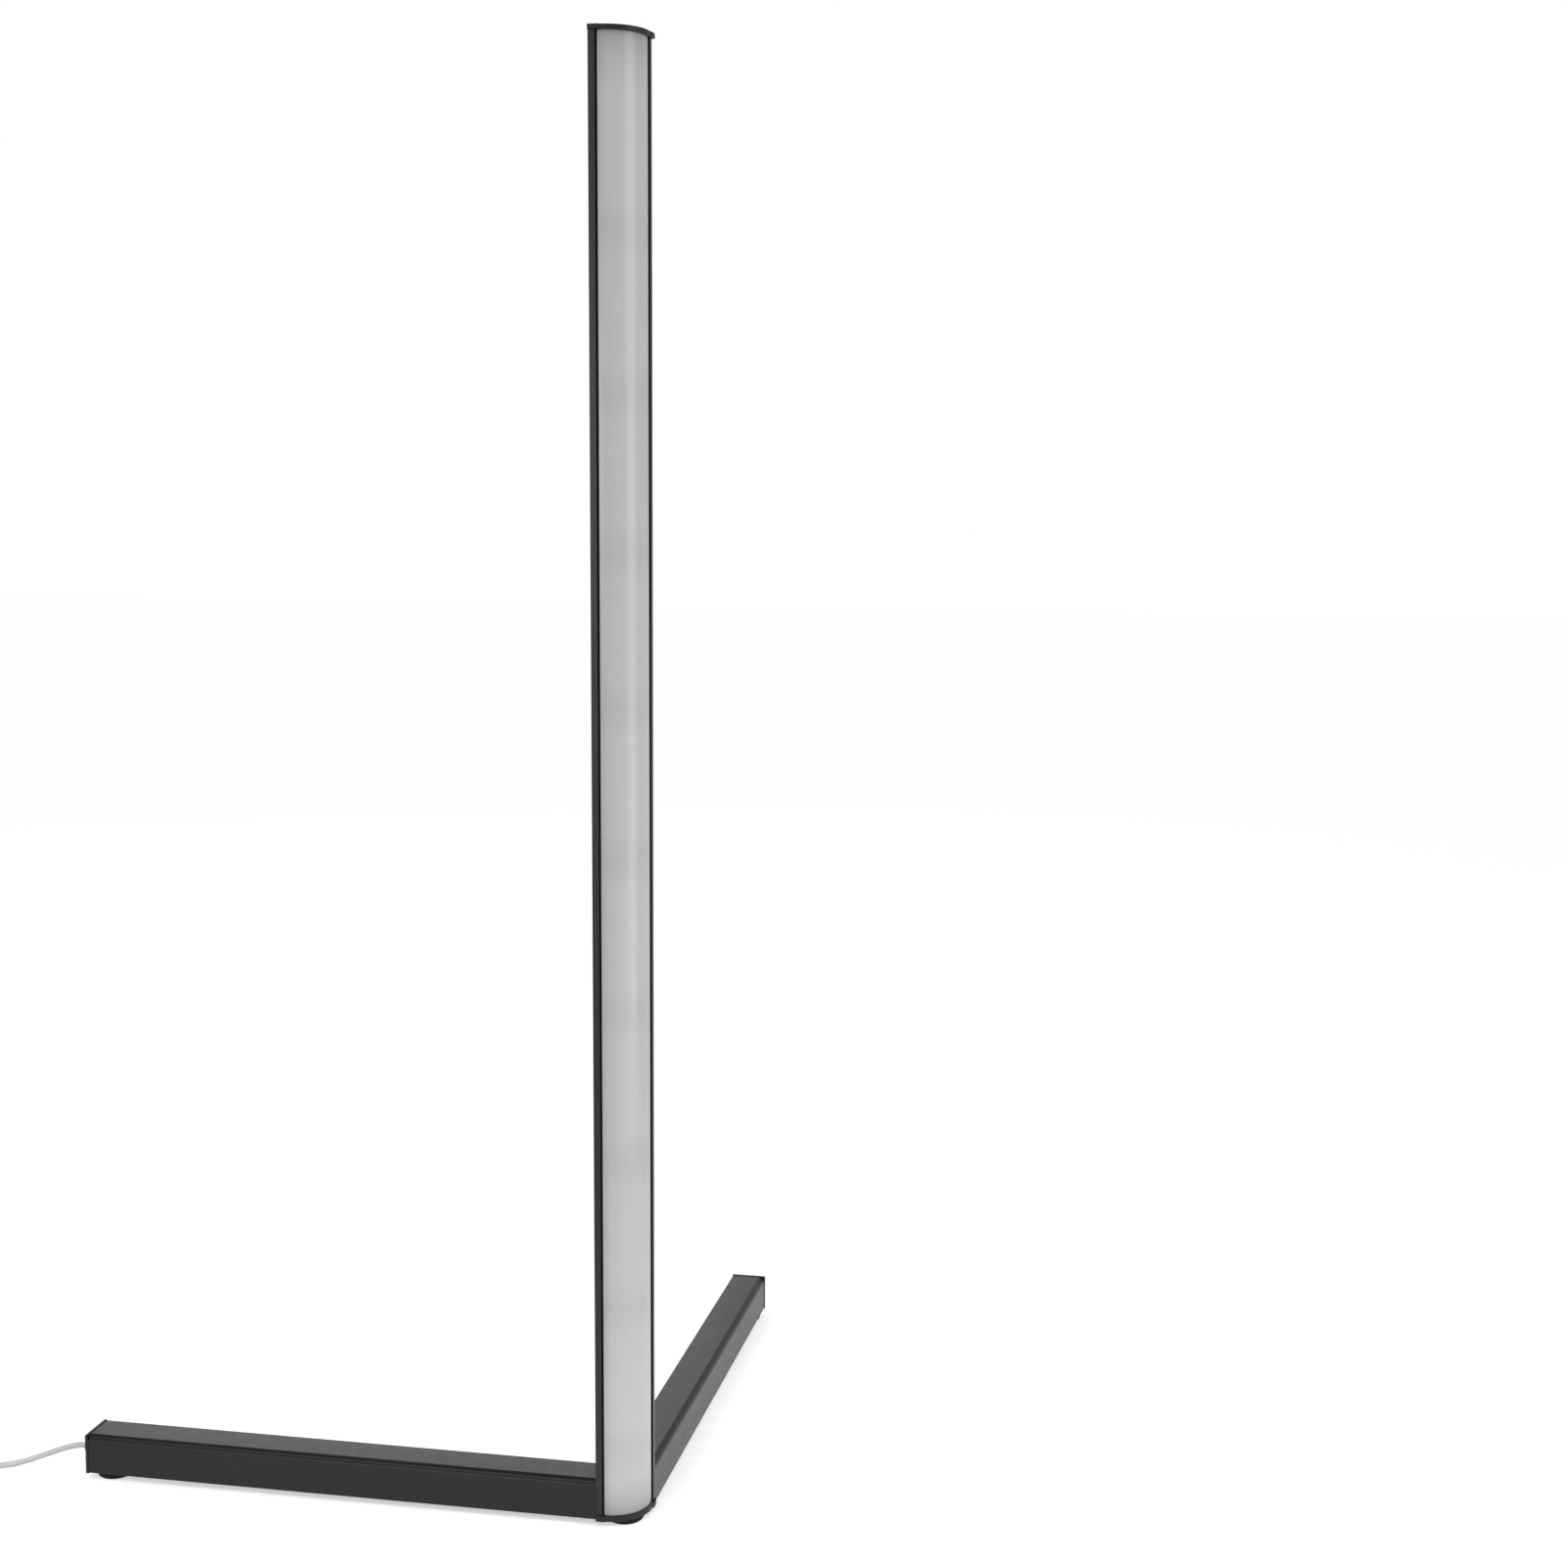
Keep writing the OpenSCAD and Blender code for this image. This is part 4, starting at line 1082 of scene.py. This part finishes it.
# SHEET_ is the floor within SHEET_R of the lamp, and FLOOR_ the open floor. TONE is its colour, LIFT
# what the camera sees on top of its light, and GLOSS the same for reflections.
# The sky's levels change between heights that are the Z of its direction.
FLOOR_HALF = 12.0
SHEET_R = 0.28
SHEET_FADE = 0.22
SHEET_TONE = 0.93
FLOOR_TONE = 0.2
SHEET_LIFT = 0.5
FLOOR_LIFT = 0.88
SHEET_GLOSS = 0.5
FLOOR_GLOSS = 0.79
SKY_ROUND = 0.54
SKY_WHITE = 1.0
HORIZON = 0.6
SKY_BAND = 0.8
CEILING = 0.24
BAND_FROM = 0.16
BAND_TO = 0.28
CEILING_FROM = 0.36
CEILING_TO = 0.56
CAMERA_AZIMUTH = 10.135
CAMERA_ELEVATION = 7.036
CAMERA_ROLL = 0.426
CAMERA_PLACE = (0.34187, -1.23873, 0.62421)
CAMERA_LENS = 49.617
CAMERA_SHIFT = (-0.0239, -0.0054)
AIM = Vector((0, 0, 0.45))


def from_lamp(tree, near, far):
    """A value that goes from near beside the lamp to far on the open floor."""
    place = add_node(tree, "TexCoord", {}).outputs["Object"]
    reach = add_node(tree, "VectorMath", {0: place}, operation="LENGTH").outputs["Value"]
    return ramp(tree, reach, SHEET_R, SHEET_R + SHEET_FADE, near, far, "SMOOTHSTEP")


def seen_by_eye(tree, rays):
    """1 where the camera sees the surface, also through glass."""
    return maths(tree, "MAXIMUM", rays["Is Camera Ray"], rays["Is Transmission Ray"])


def pale_floor():
    """Pale surface, lifted to white for the camera and for gloss, that still takes a shadow."""
    material = bpy.data.materials.new("pale_floor")
    material.use_nodes = True
    tree = material.node_tree
    tree.nodes.clear()
    rays = add_node(tree, "LightPath", {}).outputs
    for_eye = maths(tree, "MULTIPLY", seen_by_eye(tree, rays), from_lamp(tree, SHEET_LIFT, FLOOR_LIFT))
    for_gloss = from_lamp(tree, SHEET_GLOSS, FLOOR_GLOSS)
    for_gloss = maths(tree, "MULTIPLY", rays["Is Glossy Ray"], for_gloss)
    plain = add_node(tree, "BsdfDiffuse", {"Color": from_lamp(tree, SHEET_TONE, FLOOR_TONE)})
    lift = add_node(tree, "Emission", {"Strength": maths(tree, "ADD", for_eye, for_gloss)})
    both = add_node(tree, "AddShader", {0: plain.outputs[0], 1: lift.outputs[0]})
    add_node(tree, "OutputMaterial", {"Surface": both.outputs[0]})
    return material


def studio_floor():
    bm = bmesh.new()
    corners = [(-1, -1), (1, -1), (1, 1), (-1, 1)]
    bm.faces.new(ring(bm, [(x * FLOOR_HALF, y * FLOOR_HALF, 0) for x, y in corners]))
    mesh = bpy.data.meshes.new("floor")
    bm.to_mesh(mesh)
    bm.free()
    mesh.materials.append(pale_floor())
    floor = bpy.data.objects.new("floor", mesh)
    bpy.context.scene.collection.objects.link(floor)


def studio_world():
    """White to the camera; gloss sees a pale sky up to a darker ceiling; the rest gets an even light."""
    world = bpy.data.worlds.new("studio")
    bpy.context.scene.world = world
    world.use_nodes = True
    world.cycles.sampling_method = "NONE"
    tree = world.node_tree
    tree.nodes.clear()
    place = add_node(tree, "TexCoord", {}).outputs["Generated"]
    height = add_node(tree, "SeparateXYZ", {0: place}).outputs["Z"]
    upper = ramp(tree, height, CEILING_FROM, CEILING_TO, SKY_BAND, CEILING, "SMOOTHSTEP")
    sky = ramp(tree, height, BAND_FROM, BAND_TO, HORIZON, upper, "SMOOTHSTEP")
    rays = add_node(tree, "LightPath", {}).outputs
    lit = {"Factor": rays["Is Glossy Ray"], "A": SKY_ROUND, "B": sky}
    lit = add_node(tree, "Mix", lit, data_type="FLOAT").outputs["Result"]
    level = {"Factor": seen_by_eye(tree, rays), "A": lit, "B": SKY_WHITE}
    level = add_node(tree, "Mix", level, data_type="FLOAT").outputs["Result"]
    around = add_node(tree, "Background", {"Color": (1, 1, 1, 1), "Strength": level})
    add_node(tree, "OutputWorld", {"Surface": around.outputs[0]})


def soft_light(name, azimuth, elevation, distance, size, radiance):
    """Panel that looks at the lamp from azimuth (0 is the front, 90 is +X)."""
    light = bpy.data.lights.new(name, "AREA")
    light.shape = "RECTANGLE"
    light.size, light.size_y = size
    light.energy = radiance * math.pi * size[0] * size[1]
    made = bpy.data.objects.new(name, light)
    a, e = math.radians(azimuth), math.radians(elevation)
    back = Vector((math.sin(a) * math.cos(e), -math.cos(a) * math.cos(e), math.sin(e)))
    made.location = AIM + back * distance
    made.rotation_euler = back.to_track_quat("Z", "Y").to_euler()
    made.visible_camera = False
    bpy.context.scene.collection.objects.link(made)


def camera():
    data = bpy.data.cameras.new("camera")
    data.lens = CAMERA_LENS
    data.shift_x, data.shift_y = CAMERA_SHIFT
    made = bpy.data.objects.new("camera", data)
    bpy.context.scene.collection.objects.link(made)
    turn = Matrix.Rotation(math.radians(CAMERA_AZIMUTH), 4, "Z")
    tilt = Matrix.Rotation(math.radians(90 - CAMERA_ELEVATION), 4, "X")
    roll = Matrix.Rotation(math.radians(CAMERA_ROLL), 4, "Z")
    made.matrix_world = Matrix.Translation(CAMERA_PLACE) @ turn @ tilt @ roll
    bpy.context.scene.camera = made
    bpy.context.scene.view_settings.view_transform = "Standard"


# ---- the scene ----

camera()
supply, supply_path, plug_lead, plug_path = cords()
corner_profile()
diffuser_cover()
caps()
cap_screws()
leg("left_tube", LEFT_LEG, "left_leg", "left_tube_screw")
leg("rear_tube", REAR_LEG, "rear_leg", "rear_tube_screw")
end_plate("left_end_plate", LEFT_LEG, "left_end_cap", True)
end_plate("rear_end_plate", REAR_LEG, "rear_end_cap", False)
for foot_node in ("corner_foot", "left_foot", "rear_foot"):
    foot(foot_node + "_pad", foot_node)
grip = boot()
wrap = tie()
lower = switch_shell("switch_base", "switch_lower", False)
upper = switch_shell("switch_top", "switch_upper", True)
button = push_button()
housing = plug_housing()
contacts = plug_contacts()
sleeve = plug_sleeve()
finish_inner_nodes()

studio_floor()
studio_world()
soft_light("side_panel", azimuth=77, elevation=6, distance=1.0, size=(0.5, 1.2), radiance=2.4)
soft_light("low_panel", azimuth=45, elevation=-24, distance=0.85, size=(0.6, 0.3), radiance=0.7)
soft_light("back_panel", azimuth=205, elevation=14, distance=3.0, size=(1.4, 1.2), radiance=1.2)
soft_light("front_panel", azimuth=-20, elevation=5, distance=3.0, size=(1.4, 0.5), radiance=4.6)
soft_light("edge_panel", azimuth=-32, elevation=50, distance=2.5, size=(1.6, 0.6), radiance=3.9)
